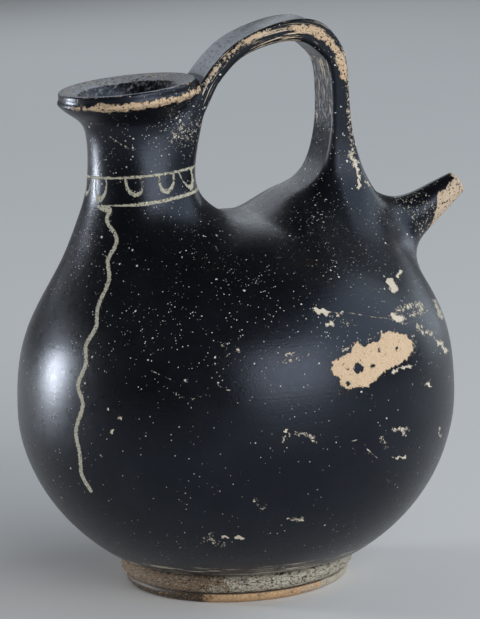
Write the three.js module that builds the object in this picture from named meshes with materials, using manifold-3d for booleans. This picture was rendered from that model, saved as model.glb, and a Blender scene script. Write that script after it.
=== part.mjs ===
// An askos: a wheel-thrown clay globe with an off-centre neck, an arched strap handle, a drip spout
// and a ring foot. The pieces were made apart and luted together with soft clay while leather-hard.
// Millimetres and degrees; +X runs from the neck to the spout, +Z is up, Z = 0 is the table.
import * as THREE from "three";
import { mergeVertices } from "three/addons/utils/BufferGeometryUtils.js";
import Module from "manifold-3d";

// The slip line left between two luted pieces.
const SEAM = 0.3;

// Ring foot: two rounded bands with a groove between them, set a little off the globe's axis.
const FOOT_RADIUS = 32;
const FOOT_HEIGHT = 7.6;
const FOOT_WIDTH = 7.5;
const FOOT_GROOVE = 0.9;
const FOOT_SOLE = 3.8;
const FOOT_OFFSET = -1.8;

// Globe: an ellipse below the belly, a fuller curve above it.
const BODY_RADIUS = 60;
const BODY_BELLY = 50.8;
const BODY_TOP = 100.8;
const BODY_BASE_RADIUS = 34;
const BODY_FULLNESS = 2.4;
const BODY_WALL = 4;

// Neck: a waisted tube with a broad rolled lip, leaning outwards.
const MOUTH_OFFSET = 26.5;
const MOUTH_HEIGHT = 138;
const NECK_LEAN = 2.8;
const NECK_RADIUS = 13.2;
const NECK_WAIST = 13;
const NECK_ROOT_RADIUS = 16.4;
const NECK_WALL = 3;
const LIP_RADIUS = 19.5;
const LIP_HEIGHT = 3;
const LIP_FLARE = 6;
const MOUTH_RADIUS = 13.6;

// Strap handle: from the back of the neck, past the lip, over the arch and down to the shoulder.
const STRAP_WIDTH = 16;
const STRAP_THICKNESS = 5.2;
const STRAP_REAR_THICKNESS = 5.6;
const STRAP_CORNER = 1.3;
const HANDLE_TOP = 153.4;
const HANDLE_CREST = 17;
const HANDLE_REAR = 31.2;
const HANDLE_SHOULDER = 15;
const HANDLE_FRONT_DROP = 20;

// Drip spout: a tapered, bored stem in the plane of the neck and handle.
const SPOUT_REACH = 67.3;
const SPOUT_TIP_HEIGHT = 104;
const SPOUT_RISE = 31.4;
const SPOUT_TIP_RADIUS = 3.1;
const SPOUT_TAPER = 10;
const SPOUT_BORE = 1.5;

// Lutes: how far each clay fillet climbs its stem, or stays below its bend, and spreads over the globe.
const NECK_LUTE_CLIMB_FRONT = 22;
const NECK_LUTE_CLIMB_BACK = 9;
const NECK_LUTE_SPREAD_FRONT = 28;
const NECK_LUTE_SPREAD_BACK = 10;
const NECK_LUTE_SPREAD_SIDE = 12;
const REAR_LUTE_BELOW_FRONT = 10.3;
const REAR_LUTE_BELOW_BACK = 7.4;
const REAR_LUTE_SPREAD_FRONT = 30;
const REAR_LUTE_SPREAD_BACK = 18;
const REAR_LUTE_SPREAD_SIDE = 14;
const SPOUT_LUTE_CLIMB = 10;
const SPOUT_LUTE_SPREAD = 13;
const FRONT_LUTE_MARGIN = 3;
const FRONT_LUTE_HEIGHT = 14;
const LUTE_BLEND = 8;
const LUTE_TUCK = 1.2;
const LUTE_FULLNESS = 0.22;

const ROUND = 56;
const NECK_ROUND = 40;
const SPOUT_ROUND = 24;
const FLARE_ROUND = 32;
const FLARE_STEPS = 6;
const OVERRUN = 4;

const wasm = await Module();
wasm.setup();

function toSolid(geometry) {
  const plain = geometry.clone();
  plain.deleteAttribute("normal");
  plain.deleteAttribute("uv");
  const merged = mergeVertices(plain, 1e-4);
  const mesh = new wasm.Mesh({
    numProp: 3,
    vertProperties: new Float32Array(merged.attributes.position.array),
    triVerts: new Uint32Array(merged.index.array),
  });
  mesh.merge();
  return new wasm.Manifold(mesh);
}

function toGeometry(solid) {
  const mesh = solid.getMesh();
  const geometry = new THREE.BufferGeometry();
  geometry.setAttribute("position", new THREE.BufferAttribute(new Float32Array(mesh.vertProperties), 3));
  geometry.setIndex(Array.from(mesh.triVerts));
  geometry.computeVertexNormals();
  return geometry;
}

// A closed profile of (radius, height) points turned about +Z.
function turned(points, segments) {
  const geometry = new THREE.LatheGeometry(points, segments);
  geometry.rotateX(Math.PI / 2);
  return geometry;
}

// The profile moved outwards along its own normals; points on the axis stay on it.
function grown(points, amount) {
  return points.map((point, i) => {
    const before = points[Math.max(i - 1, 0)];
    const after = points[Math.min(i + 1, points.length - 1)];
    const along = after.clone().sub(before).normalize();
    const moved = new THREE.Vector2(point.x + along.y * amount, point.y - along.x * amount);
    return point.x === 0 ? new THREE.Vector2(0, moved.y) : moved;
  });
}

// A closed skin through rings of points, capped at both ends by a fan to a centre point.
function lofted(rings, firstCentre, lastCentre) {
  const count = rings[0].length;
  const points = rings.flat();
  const first = points.length;
  points.push(firstCentre, lastCentre);
  const index = [];
  for (let i = 0; i < rings.length - 1; i += 1) {
    for (let j = 0; j < count; j += 1) {
      const next = (j + 1) % count;
      const a = i * count + j;
      const b = i * count + next;
      const c = a + count;
      const d = b + count;
      index.push(a, b, d, a, d, c);
    }
  }
  for (let j = 0; j < count; j += 1) {
    const next = (j + 1) % count;
    const last = (rings.length - 1) * count;
    index.push(first, next, j, first + 1, last + j, last + next);
  }
  const geometry = new THREE.BufferGeometry().setFromPoints(points);
  geometry.setIndex(index);
  return geometry;
}

// Globe

const seat = FOOT_HEIGHT + SEAM;
const lowHalf = (BODY_BELLY - seat) / Math.sqrt(1 - (BODY_BASE_RADIUS / BODY_RADIUS) ** 2);

function globeProfile(inset, bottom) {
  const radius = BODY_RADIUS - inset;
  const upper = BODY_TOP - BODY_BELLY - inset;
  const lower = lowHalf - inset;
  const start = Math.asin((BODY_BELLY - bottom) / lower);
  const points = [new THREE.Vector2(0, bottom)];
  const lowSteps = 8;
  for (let i = 0; i < lowSteps; i += 1) {
    const angle = -start * (1 - i / lowSteps);
    points.push(new THREE.Vector2(radius * Math.cos(angle), BODY_BELLY + lower * Math.sin(angle)));
  }
  const highSteps = 12;
  for (let i = 0; i < highSteps; i += 1) {
    const angle = (Math.PI / 2) * (i / highSteps);
    const out = radius * Math.cos(angle) ** (2 / BODY_FULLNESS);
    const up = upper * Math.sin(angle) ** (2 / BODY_FULLNESS);
    points.push(new THREE.Vector2(out, BODY_BELLY + up));
  }
  points.push(new THREE.Vector2(0, BODY_TOP - inset));
  return points;
}

// Zero on the globe's outer skin, positive outside it.
function globeField(p) {
  const above = p.z > BODY_BELLY;
  const power = above ? BODY_FULLNESS : 2;
  const height = above ? BODY_TOP - BODY_BELLY : lowHalf;
  const out = Math.hypot(p.x, p.y) / BODY_RADIUS;
  const up = Math.abs(p.z - BODY_BELLY) / height;
  return 0.8 * BODY_RADIUS * ((out ** power + up ** power) ** (1 / power) - 1);
}

function fieldNormal(field, p) {
  const h = 0.01;
  const slope = (axis) => {
    const a = p.clone();
    const b = p.clone();
    a[axis] += h;
    b[axis] -= h;
    return field(a) - field(b);
  };
  return new THREE.Vector3(slope("x"), slope("y"), slope("z")).normalize();
}

const globe = globeProfile(0, seat);
const globeSolid = toSolid(turned(globe, ROUND));
const globeCutter = toSolid(turned(grown(globe, SEAM), ROUND));
const cavitySolid = toSolid(turned(globeProfile(BODY_WALL, seat + BODY_WALL), ROUND));

// Foot

function footProfile() {
  const inner = FOOT_RADIUS - FOOT_WIDTH;
  const sole = FOOT_RADIUS - 1.6;
  const groove = FOOT_HEIGHT * 0.45;
  const path = new THREE.Path();
  path.moveTo(sole - FOOT_SOLE, 0);
  path.lineTo(sole, 0);
  path.quadraticCurveTo(FOOT_RADIUS - 0.4, groove * 0.2, FOOT_RADIUS - 0.5, groove * 0.6);
  path.lineTo(FOOT_RADIUS - FOOT_GROOVE, groove);
  path.quadraticCurveTo(FOOT_RADIUS + 0.4, groove + 0.8, FOOT_RADIUS, FOOT_HEIGHT * 0.75);
  path.lineTo(FOOT_RADIUS - 0.7, FOOT_HEIGHT);
  path.lineTo(inner, FOOT_HEIGHT);
  path.lineTo(sole - FOOT_SOLE, 0);
  return path.getPoints(3);
}

const footGeometry = turned(footProfile(), ROUND);
footGeometry.translate(FOOT_OFFSET, 0, 0);

// Neck, made about its own axis with the top of the lip at zero, then leant and placed

const neckFrame = new THREE.Object3D();
neckFrame.position.set(-MOUTH_OFFSET, 0, MOUTH_HEIGHT);
neckFrame.rotation.y = -THREE.MathUtils.degToRad(NECK_LEAN);
neckFrame.updateMatrix();
const neckLength = MOUTH_HEIGHT - BODY_BELLY;

function neckOuter() {
  const path = new THREE.Path();
  const waist = -NECK_WAIST;
  const root = BODY_TOP - MOUTH_HEIGHT;
  path.moveTo(0, -neckLength);
  path.lineTo(NECK_ROOT_RADIUS, -neckLength);
  path.lineTo(NECK_ROOT_RADIUS, root);
  path.bezierCurveTo(
    NECK_ROOT_RADIUS - 1, root * 0.7 + waist * 0.3,
    NECK_RADIUS, waist - 5,
    NECK_RADIUS, waist,
  );
  path.bezierCurveTo(
    NECK_RADIUS, waist + 4,
    LIP_RADIUS - 4.5, -LIP_HEIGHT - 2.5,
    LIP_RADIUS - 0.7, -LIP_HEIGHT,
  );
  path.quadraticCurveTo(LIP_RADIUS + 0.4, -LIP_HEIGHT * 0.55, LIP_RADIUS - 0.5, -LIP_HEIGHT * 0.2);
  path.quadraticCurveTo(LIP_RADIUS - 1, 0, LIP_RADIUS - 2, 0);
  return path.getPoints(5);
}

function neckInner() {
  const path = new THREE.Path();
  const bore = NECK_RADIUS - NECK_WALL;
  path.moveTo(0, -neckLength - OVERRUN);
  path.lineTo(NECK_ROOT_RADIUS - NECK_WALL, -neckLength - OVERRUN);
  path.lineTo(NECK_ROOT_RADIUS - NECK_WALL, BODY_TOP - MOUTH_HEIGHT);
  path.quadraticCurveTo(bore, -NECK_WAIST - 8, bore, -NECK_WAIST);
  path.bezierCurveTo(bore, -NECK_WAIST * 0.6, MOUTH_RADIUS - 1, -LIP_FLARE, MOUTH_RADIUS, -1.8);
  path.lineTo(LIP_RADIUS - 2.6, 0);
  path.lineTo(LIP_RADIUS - 2.6, OVERRUN);
  return path.getPoints(4);
}

function placedNeck(points) {
  const top = points[points.length - 1];
  const closed = [...points, new THREE.Vector2(0, top.y)];
  return toSolid(turned(closed, NECK_ROUND).applyMatrix4(neckFrame.matrix));
}

const neckSolid = placedNeck(neckOuter());
const neckCutter = placedNeck(grown(neckOuter(), SEAM));
const neckBore = placedNeck(neckInner());

// Spout, made along its own axis with the tip at zero

const spoutAxis = new THREE.Vector3(
  Math.cos(THREE.MathUtils.degToRad(SPOUT_RISE)),
  0,
  Math.sin(THREE.MathUtils.degToRad(SPOUT_RISE)),
);
const spoutFrame = new THREE.Object3D();
spoutFrame.position.set(SPOUT_REACH, 0, SPOUT_TIP_HEIGHT);
spoutFrame.rotation.y = THREE.MathUtils.degToRad(90 - SPOUT_RISE);
spoutFrame.updateMatrix();
const spoutLength = BODY_RADIUS;
const spoutSpread = Math.tan(THREE.MathUtils.degToRad(SPOUT_TAPER));

function spoutRadius(depth) {
  return SPOUT_TIP_RADIUS + Math.max(depth, 0) * spoutSpread;
}

function spoutOuter(amount) {
  return [
    new THREE.Vector2(0, -spoutLength),
    new THREE.Vector2(spoutRadius(spoutLength) + amount, -spoutLength),
    new THREE.Vector2(SPOUT_TIP_RADIUS + 0.1 + amount, -0.8),
    new THREE.Vector2(SPOUT_TIP_RADIUS - 0.5 + amount, amount),
    new THREE.Vector2(0, amount),
  ];
}

function placedSpout(points) {
  return toSolid(turned(points, SPOUT_ROUND).applyMatrix4(spoutFrame.matrix));
}

const spoutSolid = placedSpout(spoutOuter(0));
const spoutCutter = placedSpout(spoutOuter(SEAM));
const spoutBore = placedSpout([
  new THREE.Vector2(0, -spoutLength),
  new THREE.Vector2(SPOUT_BORE, -spoutLength),
  new THREE.Vector2(SPOUT_BORE, OVERRUN),
  new THREE.Vector2(0, OVERRUN),
]);

// Handle: a strap swept along a path in the plane y = 0

function neckPoint(radius, drop) {
  return new THREE.Vector3(radius, 0, -drop).applyMatrix4(neckFrame.matrix);
}

const half = STRAP_THICKNESS / 2;
const rearHalf = STRAP_REAR_THICKNESS / 2;
const legTop = HANDLE_TOP - HANDLE_SHOULDER;
const frontEnd = neckPoint(NECK_RADIUS + 0.2, HANDLE_FRONT_DROP);
const lipPass = neckPoint(LIP_RADIUS + half - 0.6, LIP_HEIGHT * 0.5);
const crest = new THREE.Vector3(HANDLE_CREST, 0, HANDLE_TOP - half);
const rearTop = new THREE.Vector3(HANDLE_REAR, 0, legTop);
const rearEnd = new THREE.Vector3(HANDLE_REAR, 0, BODY_BELLY);
const rise = crest.clone().sub(lipPass);
const leave = new THREE.Vector3(rise.z * 0.62, 0, rise.z * 0.74);
const handlePath = new THREE.CurvePath();
handlePath.add(new THREE.CubicBezierCurve3(
  frontEnd,
  frontEnd.clone().add(new THREE.Vector3(1, 0, 0.42 * HANDLE_FRONT_DROP)),
  lipPass.clone().addScaledVector(leave, -0.6),
  lipPass,
));
handlePath.add(new THREE.CubicBezierCurve3(
  lipPass,
  lipPass.clone().addScaledVector(leave, 0.75),
  crest.clone().add(new THREE.Vector3(-0.4 * rise.x, 0, 0)),
  crest,
));
handlePath.add(new THREE.CubicBezierCurve3(
  crest,
  crest.clone().add(new THREE.Vector3(0.68 * (HANDLE_REAR - HANDLE_CREST), 0, 0)),
  rearTop.clone().add(new THREE.Vector3(-0.3, 0, 0.62 * (HANDLE_SHOULDER - half))),
  rearTop,
));
handlePath.add(new THREE.LineCurve3(rearTop, rearEnd));

function strapSection(amount, thick) {
  const w = STRAP_WIDTH / 2 + amount;
  const t = thick + amount;
  const c = STRAP_CORNER + amount;
  const s = c * 0.3;
  return [
    [w, 0], [w, t - c], [w - s, t - s], [w - c, t],
    [0, t], [c - w, t], [s - w, t - s], [-w, t - c],
    [-w, 0], [-w, c - t], [s - w, s - t], [c - w, -t],
    [0, -t], [w - c, -t], [w - s, s - t], [w, c - t],
  ];
}

function strap(amount) {
  const steps = [7, 8, 8, 3];
  const stations = [];
  handlePath.curves.forEach((curve, i) => {
    for (let k = 0; k < steps[i]; k += 1) {
      stations.push([curve.getPoint(k / steps[i]), curve.getTangent(k / steps[i])]);
    }
  });
  stations.push([rearEnd, new THREE.Vector3(0, 0, -1)]);
  const rings = stations.map(([at, along], i) => {
    const start = i === 0 ? at.clone().addScaledVector(along, -amount) : at;
    const outward = new THREE.Vector3(-along.z, 0, along.x);
    const thick = THREE.MathUtils.lerp(half, rearHalf, i / (stations.length - 1));
    return strapSection(amount, thick).map(([y, n]) => {
      return new THREE.Vector3(0, y, 0).addScaledVector(outward, n).add(start);
    });
  });
  const first = stations[0][0].clone().addScaledVector(stations[0][1], -amount);
  return toSolid(lofted(rings, first, rearEnd));
}

const strapSolid = strap(0);
const strapCutter = strap(SEAM);

// The globe with the spout standing on it, zero on the skin
function shoulderField(p) {
  const from = p.clone().sub(spoutFrame.position);
  const depth = -from.dot(spoutAxis);
  const stem = Math.max(from.addScaledVector(spoutAxis, depth).length() - spoutRadius(depth), -depth);
  const ball = globeField(p);
  const near = Math.max(LUTE_BLEND - Math.abs(stem - ball), 0) / LUTE_BLEND;
  return Math.min(stem, ball) - (near * near * LUTE_BLEND) / 4;
}

// Lutes: clay drawn in a hollow curve from a stem's wall onto the globe, all round the stem

function walk(field, start, outward, up, distance) {
  const steps = 16;
  const point = start.clone();
  for (let i = 0; i < steps; i += 1) {
    const normal = fieldNormal(field, point);
    const along = outward.clone().multiplyScalar(normal.dot(up)).addScaledVector(up, -normal.dot(outward));
    point.addScaledVector(along.normalize(), distance / steps);
    for (let k = 0; k < 8; k += 1) {
      point.addScaledVector(fieldNormal(field, point), -field(point));
    }
  }
  return point;
}

function flare({ field, base, up, wall, reach, spread, amount }) {
  const side = new THREE.Vector3(0, 1, 0);
  const fore = side.clone().cross(up);
  const columns = [];
  for (let j = 0; j < FLARE_ROUND; j += 1) {
    const angle = (2 * Math.PI * j) / FLARE_ROUND;
    const out = fore.clone().multiplyScalar(Math.cos(angle)).addScaledVector(side, Math.sin(angle));
    const wallAt = (h, inset = 0) => {
      return base.clone().addScaledVector(up, h).addScaledVector(out, wall(h, out, inset));
    };
    let low = -BODY_RADIUS / 2;
    let high = BODY_RADIUS;
    for (let i = 0; i < 40; i += 1) {
      const middle = (low + high) / 2;
      if (field(wallAt(middle)) > 0) high = middle;
      else low = middle;
    }
    const corner = wallAt(high);
    const top = wallAt(reach(out, high), LUTE_TUCK);
    const edge = walk(field, corner, out, up, spread(out));
    edge.addScaledVector(fieldNormal(field, edge), -LUTE_TUCK);
    const hollow = corner.clone().lerp(top.clone().add(edge).multiplyScalar(0.5), LUTE_FULLNESS);
    const curve = new THREE.QuadraticBezierCurve3(top, hollow, edge);
    const skin = curve.getPoints(FLARE_STEPS).map((p, i) => {
      const along = i < FLARE_STEPS ? curve.getTangent(i / FLARE_STEPS) : out.clone().sub(up);
      const away = out.clone().multiplyScalar(-along.dot(up)).addScaledVector(up, along.dot(out));
      return p.addScaledVector(away.normalize(), amount);
    });
    const skirt = edge.clone().addScaledVector(out, amount).addScaledVector(up, -LUTE_TUCK - amount);
    columns.push([skirt, ...skin.reverse()]);
  }
  const rings = columns[0].map((first, i) => columns.map((column) => column[i]));
  const crown = new THREE.Vector3();
  rings[rings.length - 1].forEach((p) => crown.addScaledVector(p, 1 / FLARE_ROUND));
  const under = base.clone().addScaledVector(up, -BODY_RADIUS / 2);
  return toSolid(lofted(rings, under, crown));
}

function towards(out, front, back, sideways) {
  const lengthwise = out.x < 0 ? front : back;
  return sideways + (lengthwise - sideways) * out.x * out.x;
}

const neckUp = new THREE.Vector3(0, 0, 1).applyQuaternion(neckFrame.quaternion);
const neckFlare = (amount) => flare({
  field: globeField,
  base: neckPoint(0, MOUTH_HEIGHT - BODY_TOP),
  up: neckUp,
  wall: (h, out, inset) => NECK_ROOT_RADIUS - 0.05 * Math.max(h, 0) - inset,
  reach: (out, root) => {
    return root + towards(out, NECK_LUTE_CLIMB_FRONT, NECK_LUTE_CLIMB_BACK, NECK_LUTE_CLIMB_BACK);
  },
  spread: (out) => towards(out, NECK_LUTE_SPREAD_FRONT, NECK_LUTE_SPREAD_BACK, NECK_LUTE_SPREAD_SIDE),
  amount,
});

const rearFlare = (amount) => flare({
  field: shoulderField,
  base: new THREE.Vector3(HANDLE_REAR, 0, BODY_TOP),
  up: new THREE.Vector3(0, 0, 1),
  wall: (h, out, inset) => {
    const across = Math.abs(out.x) / (rearHalf - inset);
    const along = Math.abs(out.y) / (STRAP_WIDTH / 2 - inset);
    return (across ** 8 + along ** 8) ** -0.125;
  },
  reach: (out) => {
    const below = towards(out, REAR_LUTE_BELOW_FRONT, REAR_LUTE_BELOW_BACK, REAR_LUTE_BELOW_FRONT);
    return legTop - BODY_TOP - below;
  },
  spread: (out) => towards(out, REAR_LUTE_SPREAD_FRONT, REAR_LUTE_SPREAD_BACK, REAR_LUTE_SPREAD_SIDE),
  amount,
});

const spoutDepth = SPOUT_REACH - BODY_RADIUS * 0.7;
const spoutFlare = (amount) => flare({
  field: globeField,
  base: spoutFrame.position.clone().addScaledVector(spoutAxis, -spoutDepth),
  up: spoutAxis,
  wall: (h, out, inset) => spoutRadius(spoutDepth - h) - inset,
  reach: (out, root) => root + SPOUT_LUTE_CLIMB,
  spread: () => SPOUT_LUTE_SPREAD,
  amount,
});

// The pad pressed round the strap's lower end on the back of the neck
const padCentre = neckPoint(NECK_RADIUS, HANDLE_FRONT_DROP);

function pad(amount) {
  const geometry = new THREE.SphereGeometry(1, 20, 12);
  geometry.scale(
    FRONT_LUTE_MARGIN + 1 + amount,
    STRAP_WIDTH / 2 + FRONT_LUTE_MARGIN + amount,
    FRONT_LUTE_HEIGHT / 2 + amount,
  );
  geometry.translate(padCentre.x, 0, padCentre.z);
  return toSolid(geometry);
}

// Cut pieces: stems stand clear of the globe, and each lute fits round its stem and the lutes before it

const bodySolid = globeSolid.subtract(cavitySolid).subtract(neckBore).subtract(spoutBore);
const neckPiece = neckSolid.subtract(neckBore).subtract(globeCutter);
const handlePiece = strapSolid.subtract(neckCutter).subtract(globeCutter);
const spoutPiece = spoutSolid.subtract(spoutBore).subtract(globeCutter).subtract(strapCutter);
const frontLute = pad(0).subtract(neckCutter).subtract(strapCutter).subtract(globeCutter);
const neckLute = neckFlare(0).subtract(neckCutter).subtract(globeCutter).subtract(strapCutter)
  .subtract(pad(SEAM));
const rearLute = rearFlare(0).subtract(strapCutter).subtract(globeCutter).subtract(neckFlare(SEAM))
  .subtract(neckCutter).subtract(spoutCutter);
const spoutLute = spoutFlare(0).subtract(spoutCutter).subtract(globeCutter).subtract(strapCutter)
  .subtract(rearFlare(SEAM));

function finish(colour, roughness) {
  return new THREE.MeshStandardMaterial({ color: colour, roughness, metalness: 0 });
}

function piece(name, geometry, material) {
  const mesh = new THREE.Mesh(geometry, material);
  mesh.name = name;
  return mesh;
}

const vessel = new THREE.Group();
vessel.add(piece("foot_ring", footGeometry, finish(0xc9ab86, 0.7)));
vessel.add(piece("body", toGeometry(bodySolid), finish(0x17181b, 0.35)));
vessel.add(piece("neck", toGeometry(neckPiece), finish(0x1a1a1d, 0.38)));
vessel.add(piece("neck_lute", toGeometry(neckLute), finish(0x17181b, 0.36)));
vessel.add(piece("handle", toGeometry(handlePiece), finish(0x1c1d21, 0.4)));
vessel.add(piece("handle_front_lute", toGeometry(frontLute), finish(0x1a1a1d, 0.38)));
vessel.add(piece("handle_rear_lute", toGeometry(rearLute), finish(0x17181b, 0.36)));
vessel.add(piece("spout", toGeometry(spoutPiece), finish(0x8d7458, 0.55)));
vessel.add(piece("spout_lute", toGeometry(spoutLute), finish(0x17181b, 0.36)));

// The frame's origin is the middle of the whole part's footprint, on the table.
const footprint = new THREE.Box3().setFromObject(vessel, true);
vessel.position.x = -(footprint.min.x + footprint.max.x) / 2;

const part = new THREE.Group();
part.name = "askos";
part.add(vessel);

export default part;
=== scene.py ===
# %% [markdown]
# A black-slipped pouring vessel, rebuilt for close looks.
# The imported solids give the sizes: a globe, a neck, a strap handle, a drip spout and a ring foot.
# On the real pot the potter smeared soft clay over every joint, so no seam shows, and years of use
# then chipped the black slip. This lesson makes that one flowing skin, and then its wear.

# %% load the frame
import math

import bmesh
import bpy
import numpy as np
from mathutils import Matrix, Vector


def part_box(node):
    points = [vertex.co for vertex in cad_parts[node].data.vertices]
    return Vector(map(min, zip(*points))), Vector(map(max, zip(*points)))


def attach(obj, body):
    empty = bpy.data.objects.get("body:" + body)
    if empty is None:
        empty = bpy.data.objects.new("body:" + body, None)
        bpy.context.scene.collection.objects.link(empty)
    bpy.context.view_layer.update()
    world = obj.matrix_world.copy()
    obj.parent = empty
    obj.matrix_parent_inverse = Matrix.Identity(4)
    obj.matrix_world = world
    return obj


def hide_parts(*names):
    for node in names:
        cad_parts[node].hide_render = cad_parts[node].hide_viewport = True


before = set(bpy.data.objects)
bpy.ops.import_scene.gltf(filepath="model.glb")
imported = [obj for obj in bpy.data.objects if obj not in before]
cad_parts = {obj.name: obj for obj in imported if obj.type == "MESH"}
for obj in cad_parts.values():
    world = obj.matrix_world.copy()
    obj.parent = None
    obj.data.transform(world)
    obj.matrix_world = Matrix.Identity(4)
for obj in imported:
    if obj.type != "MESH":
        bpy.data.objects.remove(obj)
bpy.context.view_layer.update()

import openvdb
from mathutils import Matrix, Vector

MM = 0.001


def box_mm(node):
    low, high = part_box(node)
    return np.array(low) / MM, np.array(high) / MM


print("nodes:", sorted(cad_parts))

# %% [markdown]
# The camera comes first, because the places of many marks are read from the photograph.
# The lip and the foot are circles, and their ellipses tell how high the lens was.
# A long lens about a metre away keeps the ellipses calm, and the picture is turned a little, as if
# the pot had been propped up on its spout side. The aim is a turn of the camera and not a lens shift,
# so that other views stay centred.

# %% the lens, by the photograph
PHOTO_WIDTH, PHOTO_HEIGHT = 480, 619
CAMERA_AZIMUTH, CAMERA_ELEVATION, CAMERA_ROLL = (math.radians(a) for a in (-18, 12.3, 2.5))
CAMERA_DISTANCE = 1000.0
FOCAL_PIXELS = 3636.0
SENSOR_MM = 36
BELLY_PIXEL = (236, 394)
BELLY_HEIGHT = 50.8

body_low, body_high = box_mm("body")
GLOBE_AXIS = (body_low[0] + body_high[0]) / 2
belly = np.array([GLOBE_AXIS, 0, BELLY_HEIGHT])
print("the globe's axis stands at", round(GLOBE_AXIS, 2), "mm along the pot")

# %% the way the lens points


def unit(vector):
    return vector / np.linalg.norm(vector)


def camera_axes():
    """Right, up and back of the lens, turned so that the belly's centre lands on its pixel."""
    back = np.array([
        math.sin(CAMERA_AZIMUTH) * math.cos(CAMERA_ELEVATION),
        -math.cos(CAMERA_AZIMUTH) * math.cos(CAMERA_ELEVATION),
        math.sin(CAMERA_ELEVATION),
    ])
    level = np.array([math.cos(CAMERA_AZIMUTH), math.sin(CAMERA_AZIMUTH), 0])
    upright = np.cross(back, level)
    right = level * math.cos(CAMERA_ROLL) - upright * math.sin(CAMERA_ROLL)
    up = level * math.sin(CAMERA_ROLL) + upright * math.cos(CAMERA_ROLL)
    eye = belly + CAMERA_DISTANCE * back
    per_pixel = CAMERA_DISTANCE / FOCAL_PIXELS
    aside = (PHOTO_WIDTH / 2 - BELLY_PIXEL[0]) * per_pixel
    above = (BELLY_PIXEL[1] - PHOTO_HEIGHT / 2) * per_pixel
    back = unit(eye - (belly + aside * right + above * up))
    right = unit(np.cross(up, back))
    return eye, right, np.cross(back, right), back


EYE, RIGHT, UP, BACK = camera_axes()
print("the lens is", round(EYE[2]), "mm above the table")

# %% the camera, and where a point of the pot is seen


def pixel_of(points):
    """Where points in millimetres land in the photograph, in its pixels."""
    seen = points - EYE
    depth = -(seen @ BACK)
    across = PHOTO_WIDTH / 2 + FOCAL_PIXELS * (seen @ RIGHT) / depth
    down = PHOTO_HEIGHT / 2 - FOCAL_PIXELS * (seen @ UP) / depth
    return np.stack([across, down], axis=-1)


def make_camera():
    lens = bpy.data.cameras.new("camera")
    lens.sensor_width = SENSOR_MM
    lens.sensor_height = SENSOR_MM
    lens.sensor_fit = "AUTO"
    lens.lens = SENSOR_MM * FOCAL_PIXELS / PHOTO_HEIGHT
    lens.clip_start = 0.05
    lens.clip_end = 20
    camera = bpy.data.objects.new("camera", lens)
    bpy.context.collection.objects.link(camera)
    rows = np.stack([RIGHT, UP, BACK, EYE * MM], axis=1)
    camera.matrix_world = Matrix([*rows.tolist(), [0, 0, 0, 1]])
    bpy.context.scene.camera = camera


make_camera()
print("belly centre lands on", pixel_of(belly[None])[0].round(1))

# %% [markdown]
# The clay is one skin, so it is described as one distance: negative inside the clay, zero on its skin.
# Each piece has a simple distance of its own. A soft minimum of two distances runs them together in a
# hollow fillet, which is just what a wet finger does at a joint. A mesh of separate pieces with bevels
# would show its seams, and a voxel remesh of them would blur the lip, so a distance is the better way.

# %% distance tools


def melt(a, b, soft):
    """The union of two distances, run together over a width of soft."""
    near = np.maximum(soft - np.abs(a - b), 0) / soft
    return np.minimum(a, b) - near * near * soft / 4


def overlap(a, b, soft):
    """What two distances have in common, with a rounded edge."""
    return -melt(-a, -b, soft)


def ease(low, high, value):
    """0 below low, 1 above high, smooth between."""
    share = np.clip((value - low) / (high - low), 0, 1)
    return share * share * (3 - 2 * share)


def band(value, fade_in, fade_out):
    """1 between two soft ends and 0 outside them."""
    return ease(*fade_in, value) * ease(*fade_out, value)


def hump(value, middle, width):
    """A soft rise round a middle, 1 at its top."""
    return np.exp(-(((value - middle) / width) ** 2))


print("two skins that touch, melted over 8 mm, rise by", -melt(np.zeros(1), np.zeros(1), 8.0), "mm")

# %% [markdown]
# The globe was thrown on the wheel, so from above it is round. From the side it is an ellipse below the
# belly, and above it the ellipse grows fuller, towards a rounded square. A scaled sphere would look
# too thin at the shoulder, so here the power of the ellipse rises with the height.
# Dividing by the slope turns the ellipse's own measure into millimetres.

# %% globe
GLOBE_RADIUS = (body_high[1] - body_low[1]) / 2
GLOBE_TOP = body_high[2]
GLOBE_FLOOR = body_low[2]
GLOBE_BASE_RADIUS = 33.4
GLOBE_LEAN, LEAN_RISE, LEAN_BELOW = 0.8, 40, -0.3
GLOBE_FULLNESS = 2.4
GLOBE_WALL = 4.0
GLOBE_FLOOR_EDGE = 1.5
BELLY_BLEND = 14.0
low_half = (BELLY_HEIGHT - GLOBE_FLOOR) / math.sqrt(1 - (GLOBE_BASE_RADIUS / GLOBE_RADIUS) ** 2)


def globe(p, inset=0.0):
    radius = GLOBE_RADIUS - inset
    above = p[:, 2] - BELLY_HEIGHT
    lean = GLOBE_LEAN * np.clip(above / LEAN_RISE, LEAN_BELOW, 1)
    out = np.hypot(p[:, 0] - GLOBE_AXIS - lean, p[:, 1]) / radius
    share = ease(-BELLY_BLEND, BELLY_BLEND, above)
    power = 2 + (GLOBE_FULLNESS - 2) * share
    height = low_half + (GLOBE_TOP - BELLY_HEIGHT - low_half) * share - inset
    rise = np.abs(above) / height
    size = np.maximum((out**power + rise**power) ** (1 / power), 0.1)
    steep = size ** (1 - power) * np.hypot(out ** (power - 1) / radius, rise ** (power - 1) / height)
    skin = (size - 1) / np.maximum(steep, 1e-3)
    return overlap(skin, GLOBE_FLOOR + inset - p[:, 2], GLOBE_FLOOR_EDGE)


print("globe: radius, floor and top at", np.round([GLOBE_RADIUS, GLOBE_FLOOR, GLOBE_TOP], 1), "mm")

# %% [markdown]
# The neck is a waisted tube with a broad lip, thrown apart and set on the globe with a slight lean.
# It could be a lathed mesh, but then it would not melt into the globe. So its radius is a sum of plain
# curves along its axis: the waist, the flare up to the lip, a bead along the lip's lower edge, and
# the spread towards the shoulder. The bore is a funnel at the mouth and a narrow throat below.

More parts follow.
